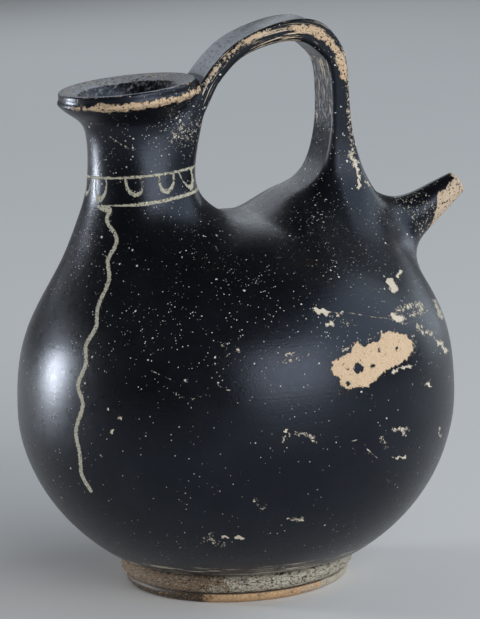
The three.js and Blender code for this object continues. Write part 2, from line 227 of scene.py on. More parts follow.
# %% turned skins
TURNED_STEPS = 900


class Turned:
    """A radius given along an axis, as on a lathe. The slope makes the gap to it a true distance."""

    def __init__(self, radius_at, start, end):
        self.along = np.linspace(start, end, TURNED_STEPS)
        self.radius = radius_at(self.along)
        self.lean = 1 / np.hypot(1, np.gradient(self.radius, self.along))

    def gap(self, along, radius):
        skin = np.interp(along, self.along, self.radius)
        return (radius - skin) * np.interp(along, self.along, self.lean)


print("a turned skin keeps its radius at", TURNED_STEPS, "places along its axis")

# %% neck
neck_low, neck_high = box_mm("neck")
MOUTH_OFFSET, MOUTH_HEIGHT = 26.9, 139.0
MOUTH = np.array([GLOBE_AXIS - MOUTH_OFFSET, 0, MOUTH_HEIGHT])
NECK_LEAN = math.radians(4.0)
NECK_UP = np.array([-math.sin(NECK_LEAN), 0, math.cos(NECK_LEAN)])
LIP_INSET = 0.7
LIP_RADIUS = (neck_high[1] - neck_low[1]) / 2 - LIP_INSET
LIP_BAND, LIP_UNDERCUT, LIP_EDGE = 3.3, 4.3, 1.0
LIP_TAPER, LIP_TAPER_DEPTH = 0.15, 1.2
BEAD_HEIGHT, BEAD_WIDTH = 0.45, 0.8
NECK_WAIST = 12.5
NECK_DEPTH, NECK_END_EDGE = 47.0, 4.0
NECK_SPREAD, NECK_SPREAD_FROM = 0.009, 10
NECK_SPREAD_END, NECK_SPREAD_FADE = 26, 10


def neck_radius(drop):
    below = np.maximum(drop - LIP_BAND, 0)
    faded = NECK_SPREAD_END + NECK_SPREAD_FADE * np.tanh((below - NECK_SPREAD_END) / NECK_SPREAD_FADE)
    below = np.where(below < NECK_SPREAD_END, below, faded)
    undercut = (LIP_RADIUS - NECK_WAIST) * hump(below, 0, LIP_UNDERCUT)
    bead = BEAD_HEIGHT * hump(drop, LIP_BAND, BEAD_WIDTH) - LIP_TAPER * np.clip(LIP_TAPER_DEPTH - drop, 0, 2)
    return NECK_WAIST + undercut + bead + NECK_SPREAD * np.maximum(below - NECK_SPREAD_FROM, 0) ** 2


neck_skin = Turned(neck_radius, -10, 90)


def neck_place(p):
    """How far below the lip, how far from the neck's axis, and round which way."""
    seen = p - MOUTH
    drop = -(seen @ NECK_UP)
    across = seen + drop[:, None] * NECK_UP
    return drop, np.linalg.norm(across, axis=1), np.arctan2(across[:, 1], -across[:, 0])


def neck(p):
    drop, radius, _ = neck_place(p)
    tube = overlap(neck_skin.gap(drop, radius), -drop, LIP_EDGE)
    return overlap(tube, drop - NECK_DEPTH, NECK_END_EDGE)


print("neck: lip", round(2 * LIP_RADIUS, 1), "mm wide, waist", 2 * NECK_WAIST, "mm")

# %% the neck's bore
MOUTH_RADIUS, MOUTH_DROP, MOUTH_SLOPE, MOUTH_EDGE = 13.7, 1.5, 2.8, 0.9
BORE_RADIUS, BORE_FALL, BORE_LIMIT = 10.2, 6, 14
BORE_SPREAD, BORE_SPREAD_FROM, BORE_SPREAD_OVER = 0.006, 13, 25
BORE_DEPTH, BORE_END_EDGE = 60, 1.0


def mouth_radius(drop):
    throat = BORE_RADIUS + (MOUTH_RADIUS - BORE_RADIUS) * np.exp(-(drop - MOUTH_DROP) / BORE_FALL)
    funnel = MOUTH_RADIUS + np.minimum(MOUTH_DROP - drop, MOUTH_DROP) * MOUTH_SLOPE
    below = BORE_SPREAD * np.clip(drop - BORE_SPREAD_FROM, 0, BORE_SPREAD_OVER) ** 2
    return -melt(-funnel, -np.minimum(throat, BORE_LIMIT), MOUTH_EDGE) + below


mouth_skin = Turned(mouth_radius, -8, 90)


def mouth(p):
    drop, radius, _ = neck_place(p)
    return overlap(mouth_skin.gap(drop, radius), drop - BORE_DEPTH, BORE_END_EDGE)


print("bore radius at 0, 5 and 20 mm below the lip:", mouth_radius(np.array([0.0, 5.0, 20.0])).round(1))

# %% [markdown]
# The drip spout is a small tapered stem, rolled by hand and pierced with a rod. A cone with a rounded
# tip does for it, and the fillet that comes later makes its root. The bore only goes as deep as
# an eye can follow it.

# %% spout
SPOUT_RISE = math.radians(31.4)
SPOUT_AXIS = np.array([math.cos(SPOUT_RISE), 0, math.sin(SPOUT_RISE)])
SPOUT_NORMAL = np.array([-math.sin(SPOUT_RISE), 0, math.cos(SPOUT_RISE)])
SPOUT_REACH, SPOUT_HEIGHT = 67.3, 104.0
SPOUT_TIP = np.array([GLOBE_AXIS + SPOUT_REACH, 0, SPOUT_HEIGHT])
SPOUT_TIP_RADIUS = 3.1
SPOUT_TAPER = math.radians(10)
SPOUT_LENGTH = 50
SPOUT_EDGE = 1.0
SPOUT_BORE = 1.4
SPOUT_BORE_DEPTH = 13.0


def spout_place(p):
    """How deep behind the tip, and how far from the spout's axis."""
    seen = p - SPOUT_TIP
    depth = -(seen @ SPOUT_AXIS)
    return depth, np.linalg.norm(seen + depth[:, None] * SPOUT_AXIS, axis=1)


def spout(p):
    depth, radius = spout_place(p)
    stem = SPOUT_TIP_RADIUS + math.tan(SPOUT_TAPER) * np.maximum(depth, 0)
    side = (radius - stem) * math.cos(SPOUT_TAPER)
    return overlap(overlap(side, -depth, SPOUT_EDGE), depth - SPOUT_LENGTH, SPOUT_EDGE)


def spout_bore(p):
    depth, radius = spout_place(p)
    return overlap(radius - SPOUT_BORE, depth - SPOUT_BORE_DEPTH, SPOUT_EDGE)


print("spout tip at", SPOUT_TIP.round(1))

# %% [markdown]
# The handle is a strap of clay, pulled thin and bent over from the neck's back to the shoulder.
# It is thickest over the bend. A curve with a bevel profile would give the strap alone; as a distance
# it can melt into the neck and the globe. The distance to its path is slow to work out, so it is
# done once on a fine grid of the plane that the strap lies in, and looked up after that.

# %% the path of the strap
handle_low, handle_high = box_mm("handle")
STRAP_WIDTH = handle_high[1] - handle_low[1]
STRAP_TOP = handle_high[2]
STRAP_LEG = 31.3
# for each station: out from the globe's axis, below the strap's top, and the strap's thickness
STRAP_STATIONS = [
    (-24.0, -44.0, 4.4), (-18.6, -38.5, 4.4), (-14.9, -32.6, 4.6), (-12.2, -27.0, 4.7), (-8.5, -20.2, 4.7),
    (-4.6, -13.9, 4.5), (1.2, -8.3, 4.5), (6.8, -5.4, 4.8), (14.2, -3.4, 5.4), (20.2, -3.1, 6.3),
    (24.3, -4.2, 7.0), (27.5, -6.9, 6.8), (30.1, -10.7, 5.9), (31.1, -15.5, 5.3), (STRAP_LEG, -21.5, 5.2),
    (STRAP_LEG, -28.5, 5.4), (STRAP_LEG, -50.0, 5.7), (STRAP_LEG, -75.0, 5.7),
]


def smooth_line(line, parts=5):
    """More points along a given line, curving through all of them."""
    ends = np.array([line[0], *line, line[-1]], float)
    t = np.linspace(0, 1, parts, endpoint=False)[:, None]
    pieces = []
    for a, b, c, d in zip(ends[:-3], ends[1:-2], ends[2:-1], ends[3:]):
        pieces.append(b + 0.5 * t * (c - a + t * (2 * a - 5 * b + 4 * c - d + t * (3 * (b - c) + d - a))))
    return np.concatenate([*pieces, ends[-1:]])


def strap_path():
    """The strap's middle line as (x, z), up the neck's back, over and down the leg, and its thickness."""
    line = smooth_line(STRAP_STATIONS, 8)
    return line[:, :2] + [GLOBE_AXIS, STRAP_TOP], line[:, 2]


def strap_place(p):
    """How far along the middle line, how far outward of it, and the thickness there."""
    path, thickness = strap_path()
    start, along = path[:-1], np.diff(path, axis=0)
    length = np.linalg.norm(along, axis=1)
    travelled = np.concatenate([[0], np.cumsum(length)])
    places = p[:, None, [0, 2]]
    share = np.clip(((places - start) * along).sum(-1) / length**2, 0, 1)
    off = places - (start + share[..., None] * along)
    apart = np.linalg.norm(off, axis=-1)
    nearest = apart.argmin(axis=1)
    row = np.arange(len(p))
    turn = along[nearest, 0] * off[row, nearest, 1] - along[nearest, 1] * off[row, nearest, 0]
    reached = travelled[nearest] + share[row, nearest] * length[nearest]
    return reached, np.copysign(apart[row, nearest], turn), np.interp(reached, travelled, thickness)


def strap_places(p, parts):
    """The same for many points, a part of them at a time."""
    places = [strap_place(part) for part in np.array_split(p, parts)]
    return [np.concatenate(column) for column in zip(*places)]


print("strap path from", strap_path()[0][0].round(1), "to", strap_path()[0][-1].round(1))

# %% the strap
STRAP_CORNER = 1.5
STRAP_HOLLOW = 0.35
STRAP_ROOT_SWELL = 0.6
SWELL_HEIGHT, SWELL_REACH = (131, 114), (15, 22)
TABLE_STEP = 0.5
TABLE_X, TABLE_Z = (GLOBE_AXIS - 60, GLOBE_AXIS + 85), (70, 175)


def strap_table():
    """How far each (x, z) lies from the strap's two faces, and on which side, on a fine grid."""
    xs = np.arange(*TABLE_X, TABLE_STEP)
    zs = np.arange(*TABLE_Z, TABLE_STEP)
    x, z = np.meshgrid(xs, zs, indexing="ij")
    places = np.stack([x, 0 * x, z], axis=-1).reshape(-1, 3)
    _, out, thickness = (column.reshape(x.shape) for column in strap_places(places, 30))
    return xs, zs, np.abs(out) - thickness / 2, (out > 0) * 1.0


strap_x, strap_z, strap_gap, strap_outside = strap_table()


def look_up(table, x, z):
    """A value between the grid's four nearest ones."""
    across = np.clip((x - strap_x[0]) / TABLE_STEP, 0, len(strap_x) - 1.001)
    up = np.clip((z - strap_z[0]) / TABLE_STEP, 0, len(strap_z) - 1.001)
    i, j = across.astype(int), up.astype(int)
    s, t = across - i, up - j
    low = table[i, j] * (1 - s) + table[i + 1, j] * s
    high = table[i, j + 1] * (1 - s) + table[i + 1, j + 1] * s
    return low * (1 - t) + high * t


def strap(p):
    gap = look_up(strap_gap, p[:, 0], p[:, 2]) + np.maximum(strap_z[0] - p[:, 2], 0)
    outside = look_up(strap_outside, p[:, 0], p[:, 2])
    side = np.abs(p[:, 1])
    reach = p[:, 0] - GLOBE_AXIS
    dish = STRAP_HOLLOW * outside * np.clip(1 - (side / (STRAP_WIDTH / 2 - STRAP_CORNER)) ** 2, 0, 1)
    swell = STRAP_ROOT_SWELL * ease(*SWELL_HEIGHT, p[:, 2]) * ease(*SWELL_REACH, reach)
    thick = gap + dish - swell + STRAP_CORNER
    wide = side - (STRAP_WIDTH / 2 - STRAP_CORNER)
    corner = np.hypot(np.maximum(thick, 0), np.maximum(wide, 0))
    return corner + np.minimum(np.maximum(thick, wide), 0) - STRAP_CORNER


print("strap:", round(STRAP_WIDTH, 1), "mm wide, looked up on a grid of", strap_gap.shape)

# %% [markdown]
# Now the pieces run together. The fillets are widest at the strap's root, where the potter
# pulled clay out over the shoulder and towards the spout, and tight where the strap meets the neck.
# A thrown pot is never quite true either, so a slow wobble of a fraction of a millimetre goes in.

# %% the whole clay
NECK_FILLET_FRONT, NECK_FILLET_BACK = 17.5, 12.0
ROOT_FILLET, SADDLE_FILLET, SHOULDER_FILLET = 29.0, 60.0, 22.0
STRAP_LIP_FILLET, STRAP_FOOT_FILLET = 1.6, 12.0
SPOUT_FILLET_ABOVE, SPOUT_FILLET_BELOW = 5.0, 9.5
# from the leg towards the neck and the spout, then heights and reach where the strap leaves the lip
SADDLE_FADE, SHOULDER_FADE = (-4, -38), (6, 24)
STRAP_FOOT_FADE, ROOT_FADE, ROOT_REACH = (139, 124), (144, 124), (0, 18)
SPOUT_FADE = (-4, 6)
HOLLOW_FILLET = 6.0
LIP_ROUNDING = 0.9
WOBBLE = 0.22


def root_fillet(p):
    """How widely the strap melts into what it stands on: little at the neck, much at the shoulder."""
    reach = p[:, 0] - GLOBE_AXIS
    from_leg = reach - STRAP_LEG
    towards_neck = (SADDLE_FILLET - ROOT_FILLET) * ease(*SADDLE_FADE, from_leg)
    towards_spout = (SHOULDER_FILLET - ROOT_FILLET) * ease(*SHOULDER_FADE, from_leg)
    wide = ROOT_FILLET + towards_neck + towards_spout
    low = ease(*STRAP_FOOT_FADE, p[:, 2])
    neck_side = STRAP_LIP_FILLET + (STRAP_FOOT_FILLET - STRAP_LIP_FILLET) * low
    return neck_side + (wide - neck_side) * ease(*ROOT_REACH, reach) * ease(*ROOT_FADE, p[:, 2])


def outer_clay(p):
    _, _, way = neck_place(p)
    front = 0.5 + 0.5 * np.cos(way)
    shell = melt(globe(p), neck(p), NECK_FILLET_BACK + (NECK_FILLET_FRONT - NECK_FILLET_BACK) * front)
    over = ease(*SPOUT_FADE, (p - SPOUT_TIP) @ SPOUT_NORMAL)
    shell = melt(shell, spout(p), SPOUT_FILLET_BELOW + (SPOUT_FILLET_ABOVE - SPOUT_FILLET_BELOW) * over)
    shell = melt(shell, strap(p), root_fillet(p))
    x, y, z = p.T
    wave = np.sin(x / 17 + 1) * np.sin(y / 13 + 2) + np.sin(z / 11) * np.sin(y / 23)
    return shell + WOBBLE * 0.5 * wave


def hollow(p):
    inside = melt(globe(p, GLOBE_WALL), mouth(p), HOLLOW_FILLET)
    return np.minimum(inside, spout_bore(p))


def clay(p):
    return overlap(outer_clay(p), -hollow(p), LIP_ROUNDING)


print("clay at the belly's middle:", clay(belly[None]).round(1), "(the hollow is positive)")

# %% settling points onto the skin
SLOPE_PROBE = 0.04
SETTLE_ROUNDS = 2
LONGEST_MOVE = 0.4


def in_chunks(field, p, size=150_000):
    return np.concatenate([field(part) for part in np.array_split(p, len(p) // size + 1)])


def slope(p):
    """The clay's gradient, by differences."""
    sides = []
    for axis in np.eye(3) * SLOPE_PROBE:
        sides.append((in_chunks(clay, p + axis) - in_chunks(clay, p - axis)) / (2 * SLOPE_PROBE))
    return np.stack(sides, axis=-1)


def settle(p, planes=()):
    """Moves points that lie near the skin exactly onto it. Points on a cut's plane stay on it."""
    for _ in range(SETTLE_ROUNDS):
        steep = slope(p)
        for place, normal in planes:
            on_it = np.abs((p - place) @ normal) < 1e-3
            steep[on_it] -= (steep[on_it] @ normal)[:, None] * normal
        move = -(in_chunks(clay, p) / (steep**2).sum(1).clip(0.05))[:, None] * steep
        far = np.linalg.norm(move, axis=1)
        p = p + np.where(far < LONGEST_MOVE, 1, 0)[:, None] * move
    return p


print("the skin's slope at the belly's front:", slope(belly[None] - [0, GLOBE_RADIUS, 0]).round(2))

# %% [markdown]
# The distance is sampled on a grid of voxels, and a surface is drawn through its zeros.
# Blender's own volume library does that quickly and gives tidy quads. The globe is smooth, so it
# takes a coarse grid, and the lip and the strap's edges take a fine one. Planes then cut the skin into
# the pot's own pieces, with a flat cap in each cut so that every piece is a closed solid.

# %% from distance to mesh
BODY_STEP, NECK_STEP, SPOUT_STEP = 1.45, 0.5, 0.4
BODY_BOX = (body_low[0] - 3, body_low[1] - 3, 5), (body_high[0] + 14, body_high[1] + 3, 111)
UPPER_BOX = (-56, -24, 106), (44, 24, 156)
SPOUT_BOX = (42, -12, 86), (66, 12, 110)
FAR_OFF = 5.0
NECK_CUT = 108.0
SPOUT_CUT = 15.0
STRAP_CUT = 2.0

neck_plane = (np.array([0, 0, NECK_CUT]), np.array([0, 0, 1.0]))
spout_plane = (SPOUT_TIP - SPOUT_CUT * SPOUT_AXIS, SPOUT_AXIS)
strap_plane = (np.array([GLOBE_AXIS - STRAP_CUT, 0, 0]), np.array([1.0, 0, 0]))
ALL_CUTS = (neck_plane, spout_plane, strap_plane)


def other_side(plane):
    return plane[0], -plane[1]


def skin_mesh(low, high, step):
    """Corners and quads of the clay's skin inside a box."""
    low, high = np.array(low, float), np.array(high, float)
    counts = np.ceil((high - low) / step).astype(int) + 1
    axes = [low[i] + step * np.arange(counts[i]) for i in range(3)]
    places = np.stack(np.meshgrid(*axes, indexing="ij"), axis=-1).reshape(-1, 3)
    grid = openvdb.FloatGrid(FAR_OFF)
    grid.copyFromArray(in_chunks(clay, places).reshape(counts).astype(np.float32))
    corners, quads = grid.convertToQuads(isovalue=0.0)
    return settle(low + corners * step), quads


print("grid steps of globe, neck with strap, and spout:", BODY_STEP, NECK_STEP, SPOUT_STEP, "mm")

# %% cutting the skin into pieces


def cut_and_capped(corners, quads, planes):
    """A bmesh of the skin behind each plane, with a flat cap in every cut."""
    mesh = bpy.data.meshes.new("skin")
    mesh.from_pydata(corners.tolist(), [], quads.tolist())
    bm = bmesh.new()
    bm.from_mesh(mesh)
    bpy.data.meshes.remove(mesh)
    for face in bm.faces:
        face.smooth = True
    for place, normal in planes:
        everything = bm.verts[:] + bm.edges[:] + bm.faces[:]
        bmesh.ops.bisect_plane(
            bm, geom=everything, dist=1e-5, plane_co=place, plane_no=normal, clear_outer=True
        )
        rim = [edge for edge in bm.edges if edge.is_boundary]
        caps = bmesh.ops.triangle_fill(bm, edges=rim, normal=normal, use_beauty=True)["geom"]
        for face in caps:
            if isinstance(face, bmesh.types.BMFace):
                face.smooth = False
    return bm


body_bm = cut_and_capped(*skin_mesh(*BODY_BOX, BODY_STEP), [neck_plane, spout_plane])
upper = skin_mesh(*UPPER_BOX, NECK_STEP)
neck_bm = cut_and_capped(*upper, [other_side(neck_plane), strap_plane])
handle_bm = cut_and_capped(*upper, [other_side(neck_plane), other_side(strap_plane)])
spout_bm = cut_and_capped(*skin_mesh(*SPOUT_BOX, SPOUT_STEP), [other_side(spout_plane)])
for name, bm in (("body", body_bm), ("neck", neck_bm), ("handle", handle_bm), ("spout", spout_bm)):
    loose = sum(edge.is_boundary for edge in bm.edges)
    print(name, len(bm.verts), "corners,", len(bm.faces), "faces,", loose, "open edges")

# %% [markdown]
# The marks of use are drawn. Short lists of points say how far across and down the picture each
# mark lies, and every corner of the mesh that faces the lens keeps its distance to them in millimetres.
# A painted mask would need an image, while a stored distance stays sharp when the shader cuts it off,
# and the shader can fray its edge. The far side gets chips of its own from a seeded dice.

# %% paint, patch and scratches, as points across and down the picture
WAVY_LINE = [
    (104, 204), (110, 210), (107, 221), (117, 240), (108, 260), (109, 280), (98, 307), (96, 327),
    (86, 345), (86, 364), (78, 385), (83, 405), (76, 430), (80, 455), (82, 475), (91, 491),
]
WAVY_LINE_START = [(101, 206), (107, 209)]
WAVY_LINE_WIDTH, WAVY_START_WIDTH = 3.5, 7.5
BIG_PATCH = [
    (331, 370), (332, 362), (342, 357), (352, 353), (354, 342), (358, 340), (364, 346), (373, 342),
    (378, 342), (382, 334), (391, 332), (400, 333), (407, 335), (412, 343), (412, 350), (407, 358),
    (397, 365), (383, 373), (373, 383), (369, 387), (358, 387), (348, 390), (340, 385), (339, 377),
    (332, 375),
]
# islands of slip that are left in the patch, with their radius
SLIP_LEFT_IN_PATCH = [
    (358, 368, 4.2), (373, 366, 2.2), (348, 369, 1.4), (348, 384, 1.4), (397, 348, 1.3), (379, 350, 1.1),
]
SCRATCHES = [
    [(328, 312), (350, 313), (373, 317), (391, 319)],
    [(405, 324), (417, 320), (428, 310)],
    [(150, 370), (163, 376), (172, 380), (188, 382)],
    [(214, 382), (224, 389), (236, 392)],
    [(366, 448), (377, 458)],
    [(347, 443), (362, 438)],
    [(430, 332), (438, 342)],
    [(109, 136), (122, 145), (134, 150)],
    [(152, 150), (164, 149)],
]
print("drawn marks: a wavy line of", len(WAVY_LINE), "points and", len(SCRATCHES), "scratches")

# %% flaked places: a line along the middle, its half width in pixels, and how flaked it is
FLAKED_PLACES = [
    # right shoulder: round the long scratch, and its two pale blobs
    ([(389, 281), (392, 284), (394, 289)], 4.6, 1.6),
    ([(398, 276), (400, 272)], 2.0, 1.6),
    ([(316, 310), (321, 311), (327, 313)], 3.2, 1.6),
    ([(334, 317), (341, 313)], 3.0, 1.1),
    ([(327, 325), (333, 323)], 3.5, 1.3),
    ([(342, 322), (354, 322), (359, 327)], 4.5, 0.9),
    ([(340, 334), (356, 330)], 5.0, 0.6),
    ([(394, 317), (401, 319)], 5.5, 1.4),
    ([(398, 310), (408, 306), (420, 304), (423, 311), (412, 315)], 4.6, 1.15),
    ([(417, 325), (422, 331), (430, 333)], 4.4, 1.15),
    ([(437, 341), (442, 345), (446, 351)], 3.0, 1.3),
    ([(434, 300), (438, 309), (442, 319)], 3.0, 1.2),
    # round the big patch
    ([(392, 373), (400, 368), (411, 366)], 2.4, 1.3),
    ([(343, 350), (351, 347)], 3.5, 1.1),
    ([(412, 335), (416, 345), (414, 354)], 3.5, 0.9),
    ([(336, 391), (345, 394), (354, 391), (371, 394)], 3.5, 0.75),
    ([(366, 342), (374, 338), (382, 331)], 3.0, 0.9),
    # belly
    ([(276, 364), (288, 360), (300, 357)], 4.0, 1.0),
    ([(300, 358), (311, 353), (322, 352)], 3.0, 0.8),
    ([(286, 355), (294, 353)], 1.3, 1.4),
    ([(220, 342), (226, 348), (229, 356)], 5.0, 0.85),
    ([(237, 349), (239, 353)], 2.0, 1.3),
    ([(174, 397), (190, 399), (212, 394)], 2.5, 0.9),
    ([(428, 384), (430, 386)], 2.3, 1.6),
    ([(410, 394), (416, 403)], 4.0, 0.65),
    ([(370, 412), (377, 407)], 2.5, 0.9),
    ([(393, 430), (407, 429), (404, 434)], 3.0, 1.2),
    ([(380, 436), (384, 440), (386, 449)], 3.5, 0.95),
    ([(393, 458), (406, 457)], 1.8, 1.4),
    ([(439, 428), (440, 438)], 1.6, 1.2),
    ([(118, 417), (121, 419)], 2.0, 1.4),
    ([(112, 431), (112, 434)], 1.6, 1.6),
    ([(101, 455), (102, 457)], 2.0, 1.3),
    # low on the globe
    ([(282, 440), (290, 435), (302, 433), (312, 437), (316, 442)], 3.2, 1.1),
    ([(285, 431), (287, 431)], 1.7, 2.0),
    ([(255, 499), (258, 504), (262, 510), (266, 506)], 4.0, 0.9),
    ([(288, 519), (296, 520), (304, 519)], 2.8, 1.2),
    ([(203, 541), (211, 536), (216, 543), (223, 545)], 4.5, 1.0),
    ([(222, 537), (227, 537)], 1.6, 1.8),
    ([(235, 537), (242, 538)], 1.7, 2.0),
    # the strap's root
    ([(350, 153), (355, 163)], 4.6, 1.25),
    ([(356, 165), (359, 178), (359, 188)], 2.0, 1.4),
    ([(366, 181), (371, 187)], 1.8, 1.2),
]
print("flaked places:", len(FLAKED_PLACES))

# %% distances to what is drawn


def to_line(pixels, line):
    """The distance in pixels from each pixel to a drawn line."""
    start = np.array(line[:-1], float)
    along = np.diff(np.array(line, float), axis=0)
    off = pixels[:, None] - start
    share = np.clip((off * along).sum(-1) / (along**2).sum(-1), 0, 1)
    return np.linalg.norm(off - share[..., None] * along, axis=-1).min(axis=1)


def to_outline(pixels, outline):
    """Negative inside a closed outline and positive outside, in pixels."""
    ring = [*outline, outline[0]]
    gap = to_line(pixels, ring)
    inside = np.zeros(len(pixels), bool)
    for (x0, y0), (x1, y1) in zip(ring[:-1], ring[1:]):
        if y0 != y1:
            crossed = (y0 > pixels[:, 1]) != (y1 > pixels[:, 1])
            inside ^= crossed & (pixels[:, 0] < x0 + (x1 - x0) * (pixels[:, 1] - y0) / (y1 - y0))
    return np.where(inside, -gap, gap)


print("the patch's middle lies", to_outline(np.array([[370.0, 355.0]]), BIG_PATCH).round(1), "pixels in")

# %% marks that the photograph shows
PIXELS_PER_MM = FOCAL_PIXELS / CAMERA_DISTANCE
FAR = 30.0
GRAZING = 0.05
FLAKE_SHAKE = 0.65
FLAKE_CORE, FLAKE_RIM = 0.2, 1.8


def shaken(pixels):
    """Pixels moved to and fro a little, so that the flakes get a crumbly outline."""
    x, y = pixels.T
    return pixels + FLAKE_SHAKE * np.stack([
        np.sin(0.8 * y + 1.3) + np.sin(1.1 * x + 0.7 * y),
        np.sin(0.9 * x) + np.sin(1.0 * y - 0.8 * x + 2),
    ], axis=1)


def seen_marks(p, normals):
    """Distances to bare clay, paint and scratches, and how flaked the slip is, at each corner."""
    bare, paint, scratch, chip = (np.full(len(p), FAR) for _ in range(4))
    flake = np.zeros(len(p))
    front = np.flatnonzero(((EYE - p) * normals).sum(1) > GRAZING * CAMERA_DISTANCE)
    pixels = pixel_of(p[front])
    patch = to_outline(pixels, BIG_PATCH)
    for x, y, radius in SLIP_LEFT_IN_PATCH:
        patch = np.maximum(patch, radius - np.hypot(pixels[:, 0] - x, pixels[:, 1] - y))
    bare[front] = patch / PIXELS_PER_MM
    wave = to_line(pixels, smooth_line(WAVY_LINE)) - WAVY_LINE_WIDTH / 2
    wave = np.minimum(wave, to_line(pixels, WAVY_LINE_START) - WAVY_START_WIDTH / 2)
    paint[front] = wave / PIXELS_PER_MM
    scratch[front] = np.min([to_line(pixels, line) for line in SCRATCHES], axis=0) / PIXELS_PER_MM
    crumbly = shaken(pixels)
    for line, wide, much in FLAKED_PLACES:
        gap = to_line(crumbly, line)
        lost = much * (1 - ease(FLAKE_CORE * wide, FLAKE_RIM * wide, gap))
        flake[front] = np.maximum(flake[front], lost)
        chip[front] = np.minimum(chip[front], (gap - wide) / PIXELS_PER_MM)
    return {"bare": bare, "paint": paint, "scratch": scratch, "flake": flake, "chip": chip}


print("one millimetre of the belly is", round(PIXELS_PER_MM, 2), "pixels")

# %% two sets of marks on one skin
STREAK_PLACE = ("along", "out", "aside")
AMOUNTS = ("flake", "dust", "streak", "scuff", "salt")


def joined(first, second, where=True):
    """Both sets together; the second only counts at the given corners."""
    marks = dict(first)
    for key, values in second.items():
        if key in STREAK_PLACE:
            marks[key] = values
        elif key in AMOUNTS:
            marks[key] = np.maximum(first.get(key, 0), np.where(where, values, 0))
        else:
            marks[key] = np.minimum(first.get(key, FAR), np.where(where, values, FAR))
    return marks


print("the larger amount counts for", AMOUNTS, "and the nearer distance for the rest")

# %% [markdown]
# The globe's far side isn't in the photograph, so it gets chips of the same kind, thrown with a seeded
# dice. Low over the foot and on the saddle under the strap the slip is rubbed into fine streaks.
# Streaks need a place of their own to be drawn out along, round the foot or along the saddle.

# %% marks on the globe
HIDDEN_CHIPS, HIDDEN_PATCHES, HIDDEN_SEED = 46, 3, 47
CHIP_WARPS, CHIP_WARP_SIZE = (2.4, 4.3), 0.32
CHIP_HALO, CHIP_HALO_FADE = 1.05, (0.3, 4.0)
SPOUT_ROOT = 32
OVER_FOOT = (7.5, 3.5)
UPPER_GLOBE = (60, 104)
SADDLE_LONG, SADDLE_WIDE, SADDLE_HIGH = ((-8, 2), (30, 20)), (13, 6), (96, 101)


def hidden_chips():
    """Places and sizes of chips on the far half of the globe."""
    dice = np.random.default_rng(HIDDEN_SEED)
    chips = []
    while len(chips) < HIDDEN_CHIPS + HIDDEN_PATCHES:
        way = unit(dice.normal(size=3))
        size = dice.uniform(3, 6) if len(chips) < HIDDEN_PATCHES else 0.3 + dice.exponential(0.35)
        if way @ BACK < -0.1 and abs(way[2]) < 0.75:
            chips.append((belly + GLOBE_RADIUS * way * [1, 1, 0.85], size))
    return chips


def body_marks(p, normals):
    marks = seen_marks(p, normals)
    marks = joined(marks, spout_marks(p, normals), np.linalg.norm(p - SPOUT_TIP, axis=1) < SPOUT_ROOT)
    reach, height = p[:, 0] - GLOBE_AXIS, p[:, 2]
    over_foot = ease(*OVER_FOOT, height - GLOBE_FLOOR)
    upper = 0.38 + 0.24 * ease(*UPPER_GLOBE, height)
    saddle = band(reach, *SADDLE_LONG) * ease(*SADDLE_WIDE, np.abs(p[:, 1])) * ease(*SADDLE_HIGH, height)
    low = height < BELLY_HEIGHT
    marks["flake"] = np.max([marks["flake"], 0.7 * over_foot, upper], axis=0)
    marks["dust"] = 0.6 * over_foot
    marks["streak"] = np.maximum(over_foot, 0.9 * saddle)
    marks["along"] = np.where(low, GLOBE_BASE_RADIUS * np.arctan2(p[:, 1], reach), p[:, 0])
    marks["out"] = np.where(low, height, p[:, 1])
    far_side = ((EYE - p) * normals).sum(1) < 0
    for place, size in hidden_chips():
        seen = p - place
        seen = seen - (seen * normals).sum(1)[:, None] * normals
        for waves in CHIP_WARPS:
            seen = seen + CHIP_WARP_SIZE * size * np.sin(seen[:, [2, 0, 1]] * waves / size + 3 * size)
        gap = np.linalg.norm(seen * [1, 1, 1.5], axis=1) - size
        gap = np.where(far_side & (((p - belly) * (place - belly)).sum(1) > 0), gap, FAR)
        halo = CHIP_HALO * (1 - ease(*CHIP_HALO_FADE, gap)) * (size > 1)
        marks["bare"] = np.minimum(marks["bare"], gap)
        marks["flake"] = np.maximum(marks["flake"], halo)
    return marks


print("chips on the far side:", len(hidden_chips()))

# %% [markdown]
# The neck carries a thin painted band: two lines, and egg shapes that hang from the upper one.
# They are drawn in the neck's own terms, by drop below the lip and by angle round the axis,
# and each egg is a little off its place, as it is when a brush does it freehand.

# %% the painted band
UPPER_LINE, UPPER_LINE_WIDTH, UPPER_LINE_WAVER = 23.3, 0.6, 0.25
LOWER_LINE, LOWER_LINE_WIDTH, LOWER_LINE_WAVER = 30.4, 0.85, 0.3
SEEN_EGGS = [-27, -70, -104, -132]
HIDDEN_EGGS = [-168, 154, 116, 78, 40, 3]
EGG_HALF_WIDTH, EGG_HALF_HEIGHT = 2.1, 3.3
EGG_MIDDLE, EGG_TILT, EGG_STRETCH = 1.5, 0.25, 0.6
EGG_LINE = 0.5
BAND_RADIUS = NECK_WAIST + 1.5


